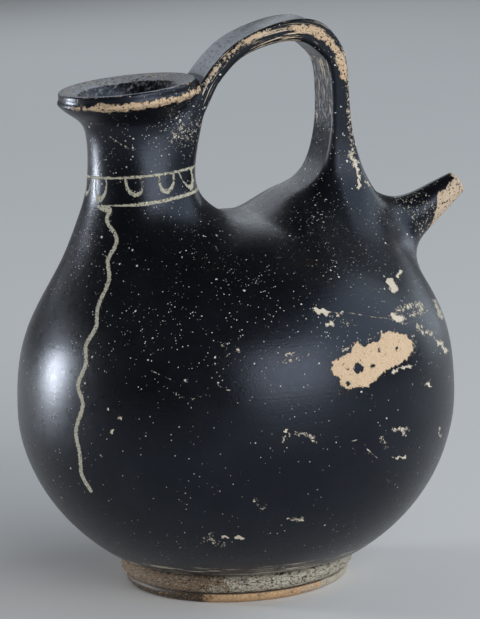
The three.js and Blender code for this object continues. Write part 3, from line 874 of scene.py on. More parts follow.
def egg_outline(number, degrees, drop, radius, way):
    """The distance to one egg's brushed outline, which is heavier towards its foot."""
    turn = (way - math.radians(degrees) + math.pi) % (2 * math.pi) - math.pi
    tilt = EGG_TILT * math.sin(2.7 * number) * (drop - UPPER_LINE - 2 * EGG_MIDDLE)
    across = turn * np.minimum(radius, BAND_RADIUS) + tilt
    down = drop - UPPER_LINE - EGG_MIDDLE
    tall = EGG_HALF_HEIGHT + EGG_STRETCH * math.cos(2.3 * number)
    egg = np.hypot(across / EGG_HALF_WIDTH, down / tall) - 1
    heavy = 1 + 0.5 * np.clip(down / tall, -0.4, 1) + 0.25 * math.sin(1.7 * number) * across
    outline = np.abs(egg) * EGG_HALF_WIDTH - EGG_LINE / 2 * np.clip(heavy, 0.5, 2)
    return np.maximum(outline, UPPER_LINE - drop)


def painted_band(drop, radius, way):
    """The distance to the two lines and the eggs between them."""
    upper = np.abs(drop - UPPER_LINE - UPPER_LINE_WAVER * np.sin(2 * way)) - UPPER_LINE_WIDTH / 2
    lower = np.abs(drop - LOWER_LINE - LOWER_LINE_WAVER * np.sin(way + 1)) - LOWER_LINE_WIDTH / 2
    eggs = enumerate([*SEEN_EGGS, *HIDDEN_EGGS])
    eggs = [egg_outline(number, degrees, drop, radius, way) for number, degrees in eggs]
    return np.min([upper, lower, *eggs], axis=0)


print("eggs round the neck:", len(SEEN_EGGS) + len(HIDDEN_EGGS))

# %% marks on the neck
LIP_WEAR, LIP_WEAR_WIDTH, LIP_WEAR_WAVER = 3.4, 1.0, 0.25
LIP_KEPT_TURN = 0.5
LIP_TOP_TILT, LIP_TOP_DROP, LIP_TOP_RADIUS = (0.55, 0.8), (2.5, 1.5), (12.0, 13.0)
THROAT_DROP, THROAT_WALL, THROAT_DUST = (11, 3), (0.8, 0.2), 0.68
LEFT_PITS = (6, 10), (29, 24)


def neck_marks(p, normals):
    drop, radius, way = neck_place(p)
    wall = mouth_radius(drop)
    outside = radius > wall + 0.3
    on_strap = (in_chunks(strap, p) < 0.4) & ((drop < -0.3) | (radius > LIP_RADIUS + 0.6))
    worn_width = LIP_WEAR_WIDTH * (1 - 1.1 * hump(way, 0, LIP_KEPT_TURN))
    bead = np.abs(drop - LIP_WEAR - LIP_WEAR_WAVER * np.sin(2.3 * way)) - worn_width
    right_side = hump(way, -2.4, 0.8) * hump(drop, 13.5, 8)
    left_side = hump(way, -0.05, 0.4) * band(drop, *LEFT_PITS)
    lip_top = ease(*LIP_TOP_TILT, normals @ NECK_UP) * ease(*LIP_TOP_DROP, drop)
    lip_top = lip_top * ease(*LIP_TOP_RADIUS, radius)
    throat = THROAT_DUST * ease(*THROAT_DROP, drop) * ease(*THROAT_WALL, radius - wall)
    marks = {
        "bare": np.where(outside & ~on_strap, bead, FAR),
        "paint": np.where(outside, painted_band(drop, radius, way), FAR),
        "flake": np.where(on_strap, 0, np.maximum(0.95 * right_side, 0.5 + 0.42 * lip_top)),
        "salt": 1 + np.maximum(1.4 * right_side, 0.6 * left_side),
        # on the lip's up-facing top the dust is real dust and also a painted sheen of the light from above
        "dust": np.where(on_strap, 0, np.maximum(1.05 * lip_top, throat)),
        "scratch": seen_marks(p, normals)["scratch"],
    }
    return joined(marks, strap_marks(p, normals), on_strap)


print("the lip is worn", 2 * LIP_WEAR_WIDTH, "mm wide along its bead")

# %% [markdown]
# The strap wears where fingers hook round it: along its outer edges, most of all over the bend.
# A corner of the mesh knows how far along the strap it lies, so each stretch gets its own width of wear.

# %% marks on the strap
WEAR_ALONG = [30, 36, 44, 52, 56, 60, 64, 70, 75, 80, 84, 88, 94]
WEAR_BELOW_EDGE = [1.0, 1.0, 1.0, 1.0, 1.1, 1.9, 2.7, 2.9, 2.4, 1.8, 1.4, 1.0, 0.8]
WEAR_HALF_WIDTH = [-0.5, 0.1, 0.4, 0.3, -0.4, 0.3, 1.0, 1.2, 1.3, 1.2, 0.7, -0.2, -0.8]
LEG_START, LEG_END = (70, 78), (118, 104)
LEG_EDGE, EDGE_LINE = (1.9, 0.7), 0.4
ROOT_OUT = (4.5, 8)
INNER_FACE, INNER_DEPTH, INNER_HEIGHT = (1.0, 0), (14, 6), (112, 126)
SIDE_FACE, SIDE_HEIGHT = (6.2, 7.4), (108, 124)
OUTER_FACE, OUTER_ALONG = (7.4, 6.6), (64, 48)
RIDGE, RIDGE_ALONG, RIDGE_CRUMBS = (0.6, 2.2), ((26, 34), (90, 82)), (62, 52)


def strap_marks(p, normals):
    along, out, thickness = strap_places(p, 20)
    side, height = np.abs(p[:, 1]), p[:, 2]
    below_edge = thickness / 2 - out
    half_width = np.interp(along, WEAR_ALONG, WEAR_HALF_WIDTH)
    below_wear = below_edge - np.interp(along, WEAR_ALONG, WEAR_BELOW_EDGE)
    bare, edge = [], []
    for hand, share in ((-1, 1.0), (1, 0.75)):
        aside = p[:, 1] - hand * STRAP_WIDTH / 2
        bare.append(np.hypot(below_wear, aside) - share * half_width)
        edge.append(np.hypot(below_edge - EDGE_LINE, aside))
    bare, edge = np.min(bare, axis=0), np.min(edge, axis=0)
    at_root = ease(*ROOT_OUT, np.abs(out))
    leg = ease(*LEG_START, along)
    inner_face = ease(*INNER_FACE, out + thickness / 2) * ease(*INNER_DEPTH, -out)
    inner_face = inner_face * ease(*INNER_HEIGHT, height)
    side_face = ease(*SIDE_FACE, side) * (1 - at_root)
    outer_face = hump(below_edge, 0, 1.0) * ease(*OUTER_FACE, side) * (1 - at_root)
    leg_edge = leg * ease(*LEG_END, along) * ease(*LEG_EDGE, edge)
    ridge = (1 - ease(*RIDGE, bare + half_width)) * band(along, *RIDGE_ALONG) * (1 - at_root)
    crumbs = (0.7 + 0.4 * ease(*RIDGE_CRUMBS, along)) * ridge
    return {
        "bare": bare + 6 * at_root,
        "flake": np.max([0.65 * inner_face * leg, leg_edge, crumbs], axis=0),
        "streak": np.maximum(side_face * (1 - leg), inner_face * leg),
        # on the left half of the strap's outer face the dust is mostly a painted sheen of the light from
        # above, over some real dust
        "dust": np.maximum(0.7 * inner_face * leg, 1.15 * outer_face * ease(*OUTER_ALONG, along)),
        "scuff": side_face * ease(*SIDE_HEIGHT, height),
        "along": along,
        "out": out,
        "aside": p[:, 1],
    }


print("the strap's wear is given at", len(WEAR_ALONG), "places along it")

# %% marks on the whole handle, the strap's and those that were seen at its root
SEEN_BELOW = 122
ROOT_FLAKES, ROOT_CHALK = (96, 112), (92, 106)


def handle_marks(p, normals):
    marks = joined(strap_marks(p, normals), seen_marks(p, normals), p[:, 2] < SEEN_BELOW)
    marks["flake"] = np.maximum(marks["flake"], 0.54 + 0.08 * ease(*ROOT_FLAKES, marks["along"]))
    marks["chalk"] = 0.35 + 0.6 * ease(*ROOT_CHALK, marks["along"])
    return marks


print("flakes grow chalky from", ROOT_CHALK[0], "to", ROOT_CHALK[1], "mm along the strap")

# %% [markdown]
# The spout has lost the slip of its underside and shows bare tan clay. Its upper side is still black.
# The rest is the same skin, so the same kinds of distances serve.

# %% marks on the spout
SPOUT_BARE_DEPTH, SPOUT_BARE_SLANT = 9.7, 1.04
SPOUT_BARE_TOP, SPOUT_BARE_TWIST = 1.0, 0.3
SPOUT_RIM = 0.8
SPOUT_FLAKES = (7, 11), (24, 18)


def spout_marks(p, normals):
    depth, _ = spout_place(p)
    height = (p - SPOUT_TIP) @ SPOUT_NORMAL
    lower = height - SPOUT_BARE_TOP + SPOUT_BARE_TWIST * np.maximum(p[:, 1], -4)
    reach = np.minimum(SPOUT_BARE_DEPTH - SPOUT_BARE_SLANT * height, SPOUT_CUT)
    bare = np.maximum(lower, depth - reach)
    return {"bare": np.minimum(bare, depth - SPOUT_RIM), "flake": 0.86 * band(depth, *SPOUT_FLAKES)}


print("bare clay reaches", SPOUT_BARE_DEPTH, "mm up the spout's axis")

# %% [markdown]
# Each skin is now finished: faces under fine marks are split smaller, every corner is settled onto
# the zero of the distance, and its normal is taken from the slope of the distance.
# Those normals are the same on both sides of a cut, so the cuts can't be seen in the gloss.

# %% splitting the mesh under fine marks
MARK_REACH = 2.2
FINE_MARKS = ("bare", "paint", "scratch", "chip")


def corners_of(bm):
    return np.array([corner.co for corner in bm.verts])


def facing(p):
    """The skin's normal at each point."""
    normals = slope(p)
    return normals / np.linalg.norm(normals, axis=1)[:, None]


def split_marks(bm, marks_of, cuts):
    """Splits the faces that lie wholly near a mark's edge, so that no split edge joins two whole faces."""
    p = corners_of(bm)
    marks = marks_of(p, facing(p))
    near = np.any([np.abs(marks[key]) < MARK_REACH for key in FINE_MARKS], axis=0)
    bm.verts.index_update()
    faces = [face for face in bm.faces if all(near[corner.index] for corner in face.verts)]
    edges = dict.fromkeys(edge for face in faces for edge in face.edges)
    bmesh.ops.subdivide_edges(bm, edges=list(edges), cuts=cuts, use_grid_fill=True)
    print("split", len(faces), "faces near", FINE_MARKS)


# %% what every corner keeps
EDGE_PROBE = 0.7
CHALKY = 0.85
SPECKS_RISE = (55, 92)
ROOT_SPECKS, ROOT_SPECKS_HIGH = (20, 8), ((84, 100), (136, 120))


def sharpness(p):
    """Positive on outer edges and negative in hollows, from the bend of the distance."""
    total = -6 * in_chunks(clay, p)
    for axis in np.eye(3) * EDGE_PROBE:
        total += in_chunks(clay, p + axis) + in_chunks(clay, p - axis)
    return total / EDGE_PROBE**2


def speckled(p):
    """How thick the pale specks lie: more towards the top, most round the strap's root."""
    from_leg = np.hypot(p[:, 0] - GLOBE_AXIS - STRAP_LEG, p[:, 1] + 4)
    root = ease(*ROOT_SPECKS, from_leg) * band(p[:, 2], *ROOT_SPECKS_HIGH)
    return 0.3 + 0.7 * ease(*SPECKS_RISE, p[:, 2]) + 0.3 * root


def filled_in(marks, p):
    """All the marks that a slip reads, with empty values for those that a piece doesn't have."""
    none = np.zeros(len(p))
    empty = {"chalk": none + CHALKY, "paint": none + FAR, "scratch": none + FAR}
    empty.update({key: none for key in ("dust", "streak", "scuff", *STREAK_PLACE)})
    marks = {**empty, **marks, "edge": sharpness(p)}
    marks["salt"] = np.maximum(marks.get("salt", 0), speckled(p))
    marks.pop("chip", None)
    return marks


def keep(mesh, name, values):
    """Stores one number for each corner, for the material to read."""
    mesh.attributes.new(name, "FLOAT", "POINT").data.foreach_set("value", values.astype(np.float32))


print("sharpness of the belly's front:", sharpness(belly[None] - [0, GLOBE_RADIUS, 0]).round(2))

# %% finishing a skin


def add_piece(mesh, name, nodes, material):
    piece = bpy.data.objects.new(name, mesh)
    bpy.context.collection.objects.link(piece)
    mesh.materials.append(material)
    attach(piece, "root")
    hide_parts(*nodes)
    print(name, "has", len(mesh.vertices), "corners and", len(mesh.polygons), "faces")


def shade_by_slope(mesh, normals):
    """Smooth faces take the skin's normals, and the flat caps in the cuts keep their own."""
    at = np.empty(len(mesh.loops), int)
    mesh.loops.foreach_get("vertex_index", at)
    at_normals = normals[at]
    for face in mesh.polygons:
        if not face.use_smooth:
            at_normals[face.loop_start : face.loop_start + face.loop_total] = face.normal
    mesh.normals_split_custom_set(at_normals.tolist())


def finish_skin(bm, name, marks_of, nodes, material, cuts=0):
    if cuts:
        split_marks(bm, marks_of, cuts)
    p = settle(corners_of(bm), ALL_CUTS)
    normals = facing(p)
    mesh = bpy.data.meshes.new(name)
    bm.to_mesh(mesh)
    bm.free()
    mesh.vertices.foreach_set("co", (p * MM).astype(np.float32).ravel())
    for key, values in filled_in(marks_of(p, normals), p).items():
        keep(mesh, key, values)
    mesh.update()
    shade_by_slope(mesh, normals)
    add_piece(mesh, name, nodes, material)


# %% [markdown]
# Materials come next. Small helpers keep the node trees readable: one adds a node and fills its inputs,
# with a number or with another node's output, and the others do sums, blends and cut-offs.
# Every pattern is measured in millimetres of the pot, so nothing slides when the camera moves.

# %% node helpers
FLOAT, COLOUR = "NodeSocketFloat", "NodeSocketColor"


def node(tree, kind, inputs=None, **settings):
    made = tree.nodes.new(kind)
    for key, value in settings.items():
        setattr(made, key, value)
    for key, value in (inputs or {}).items():
        if isinstance(value, bpy.types.NodeSocket):
            tree.links.new(value, made.inputs[key])
        else:
            made.inputs[key].default_value = value
    return made


def sums(tree, operation, *values):
    return node(tree, "ShaderNodeMath", dict(enumerate(values)), operation=operation).outputs[0]


def times(tree, first, second):
    return sums(tree, "MULTIPLY", first, second)


def plus(tree, first, second):
    return sums(tree, "ADD", first, second)


def minus(tree, first, second):
    return sums(tree, "SUBTRACT", first, second)


def added(tree, value, factor, base):
    """The base, with so much of the value added."""
    return sums(tree, "MULTIPLY_ADD", value, factor, base)


def largest(tree, first, *others):
    for other in others:
        first = sums(tree, "MAXIMUM", first, other)
    return first


def blend(tree, share, first, second):
    inputs = {0: share, 6: first, 7: second}
    return node(tree, "ShaderNodeMix", inputs, data_type="RGBA").outputs[2]


def cut_off(tree, value, start, end):
    """0 at start and 1 at end, whichever is the larger."""
    inputs = {"Value": value, "From Min": start, "From Max": end}
    return node(tree, "ShaderNodeMapRange", inputs, interpolation_type="SMOOTHSTEP").outputs[0]


def spread(tree, value, low, high):
    """Stretches a 0 to 1 value to run from low to high."""
    inputs = {"Value": value, "To Min": low, "To Max": high}
    return node(tree, "ShaderNodeMapRange", inputs).outputs[0]


print("a group's sockets are of", FLOAT, "or", COLOUR)

# %% patterns, kept numbers and groups


def place(tree, stretch=(1, 1, 1)):
    """The object's own coordinates in millimetres, stretched."""
    where = node(tree, "ShaderNodeTexCoord").outputs["Object"]
    scale = tuple(s / MM for s in stretch)
    return node(tree, "ShaderNodeMapping", {"Vector": where, "Scale": scale}).outputs[0]


def noise(tree, per_mm, detail=4.0, rough=0.55, stretch=(1, 1, 1), where=None):
    """A cloudy pattern with so many lumps to the millimetre."""
    inputs = {"Vector": where or place(tree, stretch), "Scale": per_mm, "Detail": detail, "Roughness": rough}
    return node(tree, "ShaderNodeTexNoise", inputs).outputs[0]


def kept(tree, name):
    """A number that the mesh keeps at its corners."""
    return node(tree, "ShaderNodeAttribute", attribute_name=name).outputs["Fac"]


def group(name, inputs, outputs):
    """A new node group with named float or colour sockets."""
    tree = bpy.data.node_groups.new(name, "ShaderNodeTree")
    for title, value in inputs.items():
        kind = COLOUR if isinstance(value, tuple) else FLOAT
        tree.interface.new_socket(title, in_out="INPUT", socket_type=kind).default_value = value
    for title, kind in outputs.items():
        tree.interface.new_socket(title, in_out="OUTPUT", socket_type=kind)
    print("group:", name, "gives", list(outputs))
    return tree, node(tree, "NodeGroupInput").outputs, node(tree, "NodeGroupOutput").inputs


def use(tree, made, **inputs):
    """A group placed in a tree, with its own values."""
    return node(tree, "ShaderNodeGroup", inputs, node_tree=made).outputs


# %% [markdown]
# Black slip comes off in two ways: in patches with a frayed outline, and in a crowd of tiny flakes.
# One group does both. Noise shifts the stored distance before it is cut off at zero, and finer noise
# is cut off lower the more the place is flaked. Cracks between cells break the flakes into shards,
# except where the slip is almost all gone.

# %% flaked slip
def make_flaked_slip():
    tree, given, out = group(
        "Flaked slip",
        {"Distance": 10.0, "Flake": 0.0, "Ragged": 1.2, "Slip Left": 0.35},
        {"Patch": FLOAT, "Bits": FLOAT},
    )
    fray = spread(tree, noise(tree, 0.75, 7, 0.7), -1.0, 1.0)
    drift = spread(tree, noise(tree, 0.16, 3, 0.5), -0.5, 0.5)
    frayed = added(tree, plus(tree, fray, drift), given["Ragged"], given["Distance"])
    gone = cut_off(tree, minus(tree, noise(tree, 1.5, 5, 0.7), given["Slip Left"]), -0.02, 0.02)
    tree.links.new(times(tree, cut_off(tree, frayed, 0.05, -0.05), gone), out["Patch"])
    fine = largest(tree, noise(tree, 1.0, 5, 0.74), noise(tree, 2.2, 4, 0.62))
    level = added(tree, given["Flake"], -0.34, 0.87)
    bits = cut_off(tree, minus(tree, fine, level), 0.0, 0.02)
    cells = {"Vector": place(tree), "Scale": 0.62}
    shard = node(tree, "ShaderNodeTexVoronoi", cells, feature="DISTANCE_TO_EDGE").outputs[0]
    crack = added(tree, noise(tree, 1.1, 3, 0.6), 0.7, -0.27)
    whole = cut_off(tree, minus(tree, shard, crack), -0.01, 0.03)
    whole = largest(tree, whole, cut_off(tree, given["Flake"], 1.1, 1.3))
    tree.links.new(times(tree, bits, whole), out["Bits"])
    return tree


flaked_slip = make_flaked_slip()

# %% [markdown]
# Fine pale grains sit all over old slip, salts and tiny pits in it. A cell pattern gives one spot to
# each cell, and a random number for the cell decides whether the spot is there and how big it is.
# Two sizes of it together make the specks of the slip, crowded where the corners say so.

# %% salt specks
def make_salt_specks():
    tree, given, out = group("Salt specks", {"Amount": 0.2, "Cell": 2.0, "Size": 0.16}, {"Mask": FLOAT})
    cells = {"Vector": place(tree), "Scale": sums(tree, "DIVIDE", 1.0, given["Cell"])}
    cells = node(tree, "ShaderNodeTexVoronoi", cells, feature="F1").outputs
    lot = node(tree, "ShaderNodeSeparateColor", {0: cells["Color"]}).outputs
    shown = sums(tree, "LESS_THAN", lot[0], given["Amount"])
    radius = times(tree, spread(tree, times(tree, lot[1], lot[1]), 0.4, 1.0), given["Size"])
    rough_edge = added(tree, noise(tree, 3.0, 2), 0.3, cells["Distance"])
    inner = minus(tree, radius, minus(tree, rough_edge, 0.15))
    tree.links.new(times(tree, shown, cut_off(tree, inner, 0.0, 0.04)), out["Mask"])
    return tree


def make_pale_dots():
    tree, given, out = group("Pale dots", {"Crowd": 0.3, "Amount": 0.5}, {"Mask": FLOAT})
    cloud = cut_off(tree, noise(tree, 0.07, 4, 0.65), 0.34, 0.66)
    crowd = times(tree, cloud, times(tree, given["Crowd"], given["Amount"]))
    crowd = largest(tree, crowd, minus(tree, given["Crowd"], 1.0))
    dots = use(tree, salt_specks, Amount=crowd, Cell=0.62, Size=0.30)["Mask"]
    grains = use(tree, salt_specks, Amount=crowd, Cell=1.9, Size=0.20)["Mask"]
    tree.links.new(largest(tree, dots, grains), out["Mask"])
    return tree


salt_specks = make_salt_specks()
pale_dots = make_pale_dots()

# %% [markdown]
# Fingers leave level lines on a pot as the wheel turns it. They come from noise that is squeezed in
# height and drawn out round the pot, so that it varies quickly upwards and hardly at all sideways.
# The slip's surface adds a fine grain, lies lower where slip is lost, and higher under paint and specks.

# %% wheel lines and the slip's surface
def make_wheel_lines():
    tree, given, out = group("Wheel lines", {"Fine": 0.5}, {"Height": FLOAT})
    broad = noise(tree, 1.0, 3, 0.6, (0.012, 0.012, 0.35))
    close = noise(tree, 1.0, 3, 0.6, (0.03, 0.03, 1.7))
    tree.links.new(added(tree, close, given["Fine"], times(tree, broad, 0.5)), out["Height"])
    return tree


def make_slip_surface():
    inputs = {"Dull": 0.0, "Worn": 0.0, "Raised": 0.0}
    tree, given, out = group("Slip surface", inputs, {"Roughness": FLOAT, "Height": FLOAT})
    satin = spread(tree, noise(tree, 0.35, 7, 0.72), 0.19, 0.39)
    tree.links.new(added(tree, given["Dull"], 0.5, satin), out["Roughness"])
    relief = times(tree, use(tree, wheel_lines, Fine=0.6)["Height"], 0.04)
    relief = added(tree, given["Worn"], -0.16, relief)
    relief = added(tree, given["Raised"], 0.05, relief)
    tree.links.new(added(tree, noise(tree, 1.6, 4, 0.65), 0.05, relief), out["Height"])
    return tree


wheel_lines = make_wheel_lines()
slip_surface = make_slip_surface()

# %% [markdown]
# Where two faces meet in a rounded edge the slip rubs through first. The mesh keeps how sharply the clay
# bends, so the rubbed mask needs no guess from the shader about angles.
# Streaks are rubbed too, but drawn out along the strap or round the pot, so they read a corner's
# place along and across it instead of its place in the room.

# %% rubbed edges and drawn streaks
def make_rubbed_edges():
    tree, given, out = group("Rubbed edges", {"Edge": 0.0, "Amount": 0.5}, {"Mask": FLOAT})
    patchy = spread(tree, noise(tree, 0.35, 6, 0.7), -0.9, 0.9)
    start = spread(tree, given["Amount"], 1.4, 0.2)
    rubbed = cut_off(tree, minus(tree, plus(tree, given["Edge"], patchy), start), 0.0, 0.12)
    tree.links.new(rubbed, out["Mask"])
    return tree


def make_drawn_streaks():
    inputs = {"Streak": 0.0, "Along": 0.0, "Out": 0.0, "Aside": 0.0}
    tree, given, out = group("Drawn streaks", inputs, {"Mask": FLOAT})
    squeeze = {"X": ("Along", 0.09), "Y": ("Out", 2.4), "Z": ("Aside", 0.8)}
    where = {axis: times(tree, given[key], factor) for axis, (key, factor) in squeeze.items()}
    where = node(tree, "ShaderNodeCombineXYZ", where).outputs[0]
    drawn = noise(tree, 1.0, 5, 0.65, where=where)
    level = spread(tree, given["Streak"], 0.95, 0.55)
    tree.links.new(cut_off(tree, minus(tree, drawn, level), 0.0, 0.03), out["Mask"])
    return tree


rubbed_edges = make_rubbed_edges()
drawn_streaks = make_drawn_streaks()

# %% [markdown]
# Under the slip is a fine tan clay, fired pale. It is a little uneven in colour, holds dark pinholes,
# and has a dry, sandy skin. The group gives its colour and its height. Small flakes look chalkier
# than whole patches, because a thin film of lime or slip is still on them.

# %% fired clay and chalky flakes
CLAY_TAN = (0.60, 0.42, 0.26, 1)
CLAY_STAIN = (0.45, 0.27, 0.14, 1)
FLAKE_CREAM = (0.69, 0.63, 0.51, 1)
SAND_PALE = (0.82, 0.66, 0.47, 1)
PINHOLE_DARK = (0.05, 0.035, 0.025, 1)


def make_fired_clay():
    tree, given, out = group(
        "Fired clay",
        {"Tan": CLAY_TAN, "Stain": CLAY_STAIN, "Staining": 0.3},
        {"Color": COLOUR, "Height": FLOAT},
    )
    cloud = cut_off(tree, noise(tree, 0.22, 5, 0.6), 0.45, 0.75)
    tone = blend(tree, times(tree, cloud, given["Staining"]), given["Tan"], given["Stain"])
    sand = noise(tree, 3.2, 4, 0.6)
    grains = cut_off(tree, sand, 0.35, 0.68)
    tone = blend(tree, times(tree, grains, 0.6), tone, SAND_PALE)
    pits = use(tree, salt_specks, Amount=0.22, Cell=1.5, Size=0.2)["Mask"]
    tree.links.new(blend(tree, pits, tone, PINHOLE_DARK), out["Color"])
    tree.links.new(minus(tree, sand, pits), out["Height"])
    return tree


def make_chalky_flakes():
    tree, given, out = group("Chalky flakes", {"Chalk": CHALKY, "Clay": CLAY_TAN}, {"Color": COLOUR})
    chalky = plus(tree, given["Chalk"], spread(tree, noise(tree, 0.8, 4, 0.6), -0.3, 0.3))
    tree.links.new(blend(tree, chalky, given["Clay"], FLAKE_CREAM), out["Color"])
    return tree


fired_clay = make_fired_clay()
chalky_flakes = make_chalky_flakes()

# %% [markdown]
# The black slip itself is a thin skin that sintered to a satin gloss. It is almost black, with a cool
# grey bloom in places and a brownish cast in others. Dust, brushed lines and scratches lie on it; on the
# lip's top and the strap's outer face the pale dust also paints the sheen that light gives there.
# Each is a mask from a number that the corners keep, with noise to fray it.

# %% slip, and dust with its painted sheen
SLIP_DEEP = (0.0018, 0.0020, 0.0027, 1)
SLIP_BLOOM = (0.012, 0.0135, 0.019, 1)
SLIP_BROWN = (0.009, 0.006, 0.0045, 1)


def make_slip_ground():
    tree, given, out = group("Slip ground", {"Bloom": 0.4}, {"Color": COLOUR})
    film = cut_off(tree, noise(tree, 0.045, 5, 0.6), 0.42, 0.72)
    colour = blend(tree, times(tree, film, given["Bloom"]), SLIP_DEEP, SLIP_BLOOM)
    cast = cut_off(tree, noise(tree, 0.09, 4, 0.6, (1, 1, 1.7)), 0.58, 0.8)
    tree.links.new(blend(tree, cast, colour, SLIP_BROWN), out["Color"])
    return tree


# the dust mask: real dust, and on the lip's top and the strap's outer face a painted sheen too
def make_dust_and_sheen():
    tree, given, out = group("Dust and sheen", {"Amount": 0.0}, {"Mask": FLOAT})
    dust = times(tree, given["Amount"], noise(tree, 0.9, 6, 0.7))
    tree.links.new(cut_off(tree, dust, 0.30, 0.55), out["Mask"])
    return tree


slip_ground = make_slip_ground()
dust_and_sheen_film = make_dust_and_sheen()


# %% paint and scratches
def make_painted_lines():
    tree, given, out = group("Painted lines", {"Distance": FAR}, {"Mask": FLOAT})
    brush = spread(tree, noise(tree, 1.6, 4, 0.7), -0.5, 0.5)
    stroke = cut_off(tree, plus(tree, given["Distance"], brush), 0.1, -0.1)
    covered = cut_off(tree, noise(tree, 2.2, 4, 0.7), 0.38, 0.46)
    tree.links.new(times(tree, stroke, covered), out["Mask"])
    return tree


def make_scratches():
    tree, given, out = group("Scratches", {"Distance": FAR}, {"Mask": FLOAT})
    graze = spread(tree, noise(tree, 0.9, 5, 0.7), 0.5, -0.4)
    tree.links.new(cut_off(tree, plus(tree, given["Distance"], graze), 0.2, 0.06), out["Mask"])
    return tree


painted_lines = make_painted_lines()
scratched_lines = make_scratches()

# %% [markdown]
# The material stacks the layers as they lie on the pot: slip, dust with its painted sheen, paint and specks,
# and then the holes in all of them, small flakes first and bare patches last. What is worn, painted or dusty
# is dull. The pieces differ only in how many specks they have, and in how their slip has come off.

# %% colours and gloss on the slip
PAINT_CREAM = (0.52, 0.49, 0.38, 1)
SPECK_PALE = (0.76, 0.75, 0.69, 1)
# a pale cool grey, so that on up-facing tops the dust also paints the sheen that light gives there
DUST_AND_SHEEN_GREY = (0.38, 0.40, 0.44, 1)
SLIP_GLOSS = 0.42
SLIP_TINT = (0.68, 0.78, 1.0, 1)
SPECK_COVER = 0.9
SCUFF_DULL = 0.7
SLIP_MARKS = ("bare", "edge", "scratch", "paint", "chalk", *AMOUNTS, *STREAK_PLACE)
print("the slip reads", len(SLIP_MARKS), "numbers at each corner")

# %% a new material, and its relief


def new_material(name):
    material = bpy.data.materials.new(name)
    material.use_nodes = True
    tree = material.node_tree
    return material, tree, tree.nodes["Principled BSDF"]


def bump(tree, shader, height):
    """Relief in millimetres, as a bump."""
    relief = node(tree, "ShaderNodeBump", {"Height": height, "Distance": MM})
    tree.links.new(relief.outputs[0], shader.inputs["Normal"])


# %% black slip
def slip_material(name, specks, rub, ragged, left=0.35, tan=CLAY_TAN):
    """Black slip over clay: its specks, its edge wear, and how frayed and how complete its patches are."""
    material, tree, shader = new_material(name)
    marks = {key: kept(tree, key) for key in SLIP_MARKS}
    clay_look = use(tree, fired_clay, Tan=tan, Staining=0.25)["Color"]
    wear = {"Distance": marks["bare"], "Flake": marks["flake"], "Ragged": ragged, "Slip Left": left}
    loss = use(tree, flaked_slip, **wear)
    edges = use(tree, rubbed_edges, Edge=marks["edge"], Amount=rub)["Mask"]
    streaks = {key.title(): marks[key] for key in ("streak", *STREAK_PLACE)}
    streaks = use(tree, drawn_streaks, **streaks)["Mask"]
    scratches = use(tree, scratched_lines, Distance=marks["scratch"])["Mask"]
    patch = largest(tree, loss["Patch"], edges)
    bits = largest(tree, loss["Bits"], streaks, scratches)
    dust = use(tree, dust_and_sheen_film, Amount=marks["dust"])["Mask"]
    paint = use(tree, painted_lines, Distance=marks["paint"])["Mask"]
    dots = use(tree, pale_dots, Crowd=marks["salt"], Amount=specks)["Mask"]
    flakes = use(tree, chalky_flakes, Chalk=marks["chalk"], Clay=clay_look)["Color"]
    colour = use(tree, slip_ground)["Color"]
    # dust grey: real dust, and a painted sheen on the lip's top and the strap's outer face
    colour = blend(tree, dust, colour, DUST_AND_SHEEN_GREY)
    colour = blend(tree, paint, colour, PAINT_CREAM)
    colour = blend(tree, times(tree, dots, SPECK_COVER), colour, SPECK_PALE)
    colour = blend(tree, bits, colour, flakes)
    colour = blend(tree, patch, colour, clay_look)
    tree.links.new(colour, shader.inputs["Base Color"])
    worn = largest(tree, patch, bits)
    dull = largest(tree, worn, paint, dots, dust, times(tree, marks["scuff"], SCUFF_DULL))
    surface = use(tree, slip_surface, Dull=dull, Worn=worn, Raised=largest(tree, paint, dots))
    tree.links.new(surface["Roughness"], shader.inputs["Roughness"])
    shader.inputs["Specular IOR Level"].default_value = SLIP_GLOSS
    shader.inputs["Specular Tint"].default_value = SLIP_TINT
    bump(tree, shader, surface["Height"])
    return material


# %% the slip of each piece
SPOUT_TAN = (0.52, 0.40, 0.29, 1)
globe_slip = slip_material("globe_slip", specks=0.48, rub=0.1, ragged=1.6)
neck_slip = slip_material("neck_slip", specks=0.5, rub=0.1, ragged=2.2, left=0.43)
strap_slip = slip_material("strap_slip", specks=0.55, rub=0.2, ragged=2.2, left=0.43)
spout_slip = slip_material("spout_slip", specks=0.6, rub=0.3, ragged=1.8, left=0.41, tan=SPOUT_TAN)
print("slips:", [slip.name for slip in (globe_slip, neck_slip, strap_slip, spout_slip)])

# %% [markdown]
# Now each piece of the skin gets its marks and its slip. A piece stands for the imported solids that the
# potter joined there: the neck for its fillet too, and the handle for both its pads.
# Only the globe's grid is so coarse that its faces have to be split under the fine marks.

# %% pieces of the skin
handle_nodes = ["handle", "handle_front_lute", "handle_rear_lute"]
finish_skin(body_bm, "body_clay", body_marks, ["body"], globe_slip, cuts=2)
finish_skin(neck_bm, "neck_clay", neck_marks, ["neck", "neck_lute"], neck_slip)
finish_skin(handle_bm, "handle_clay", handle_marks, handle_nodes, strap_slip)
finish_skin(spout_bm, "spout_clay", spout_marks, ["spout", "spout_lute"], spout_slip)

# %% [markdown]
# The foot is a turned ring: a plump band, a groove cut with a pointed tool, and a lower band.
# A lathed profile is the honest way to make it, with a slight waver so that it isn't machine-true.

# %% foot ring
foot_low, foot_high = box_mm("foot_ring")
FOOT_AXIS = (foot_low[0] + foot_high[0]) / 2
FOOT_RADIUS = (foot_high[1] - foot_low[1]) / 2
FOOT_BAND = 7.5
FOOT_INNER = FOOT_RADIUS - FOOT_BAND
FOOT_SEGMENTS = 200
FOOT_TRUE_TOP = 8
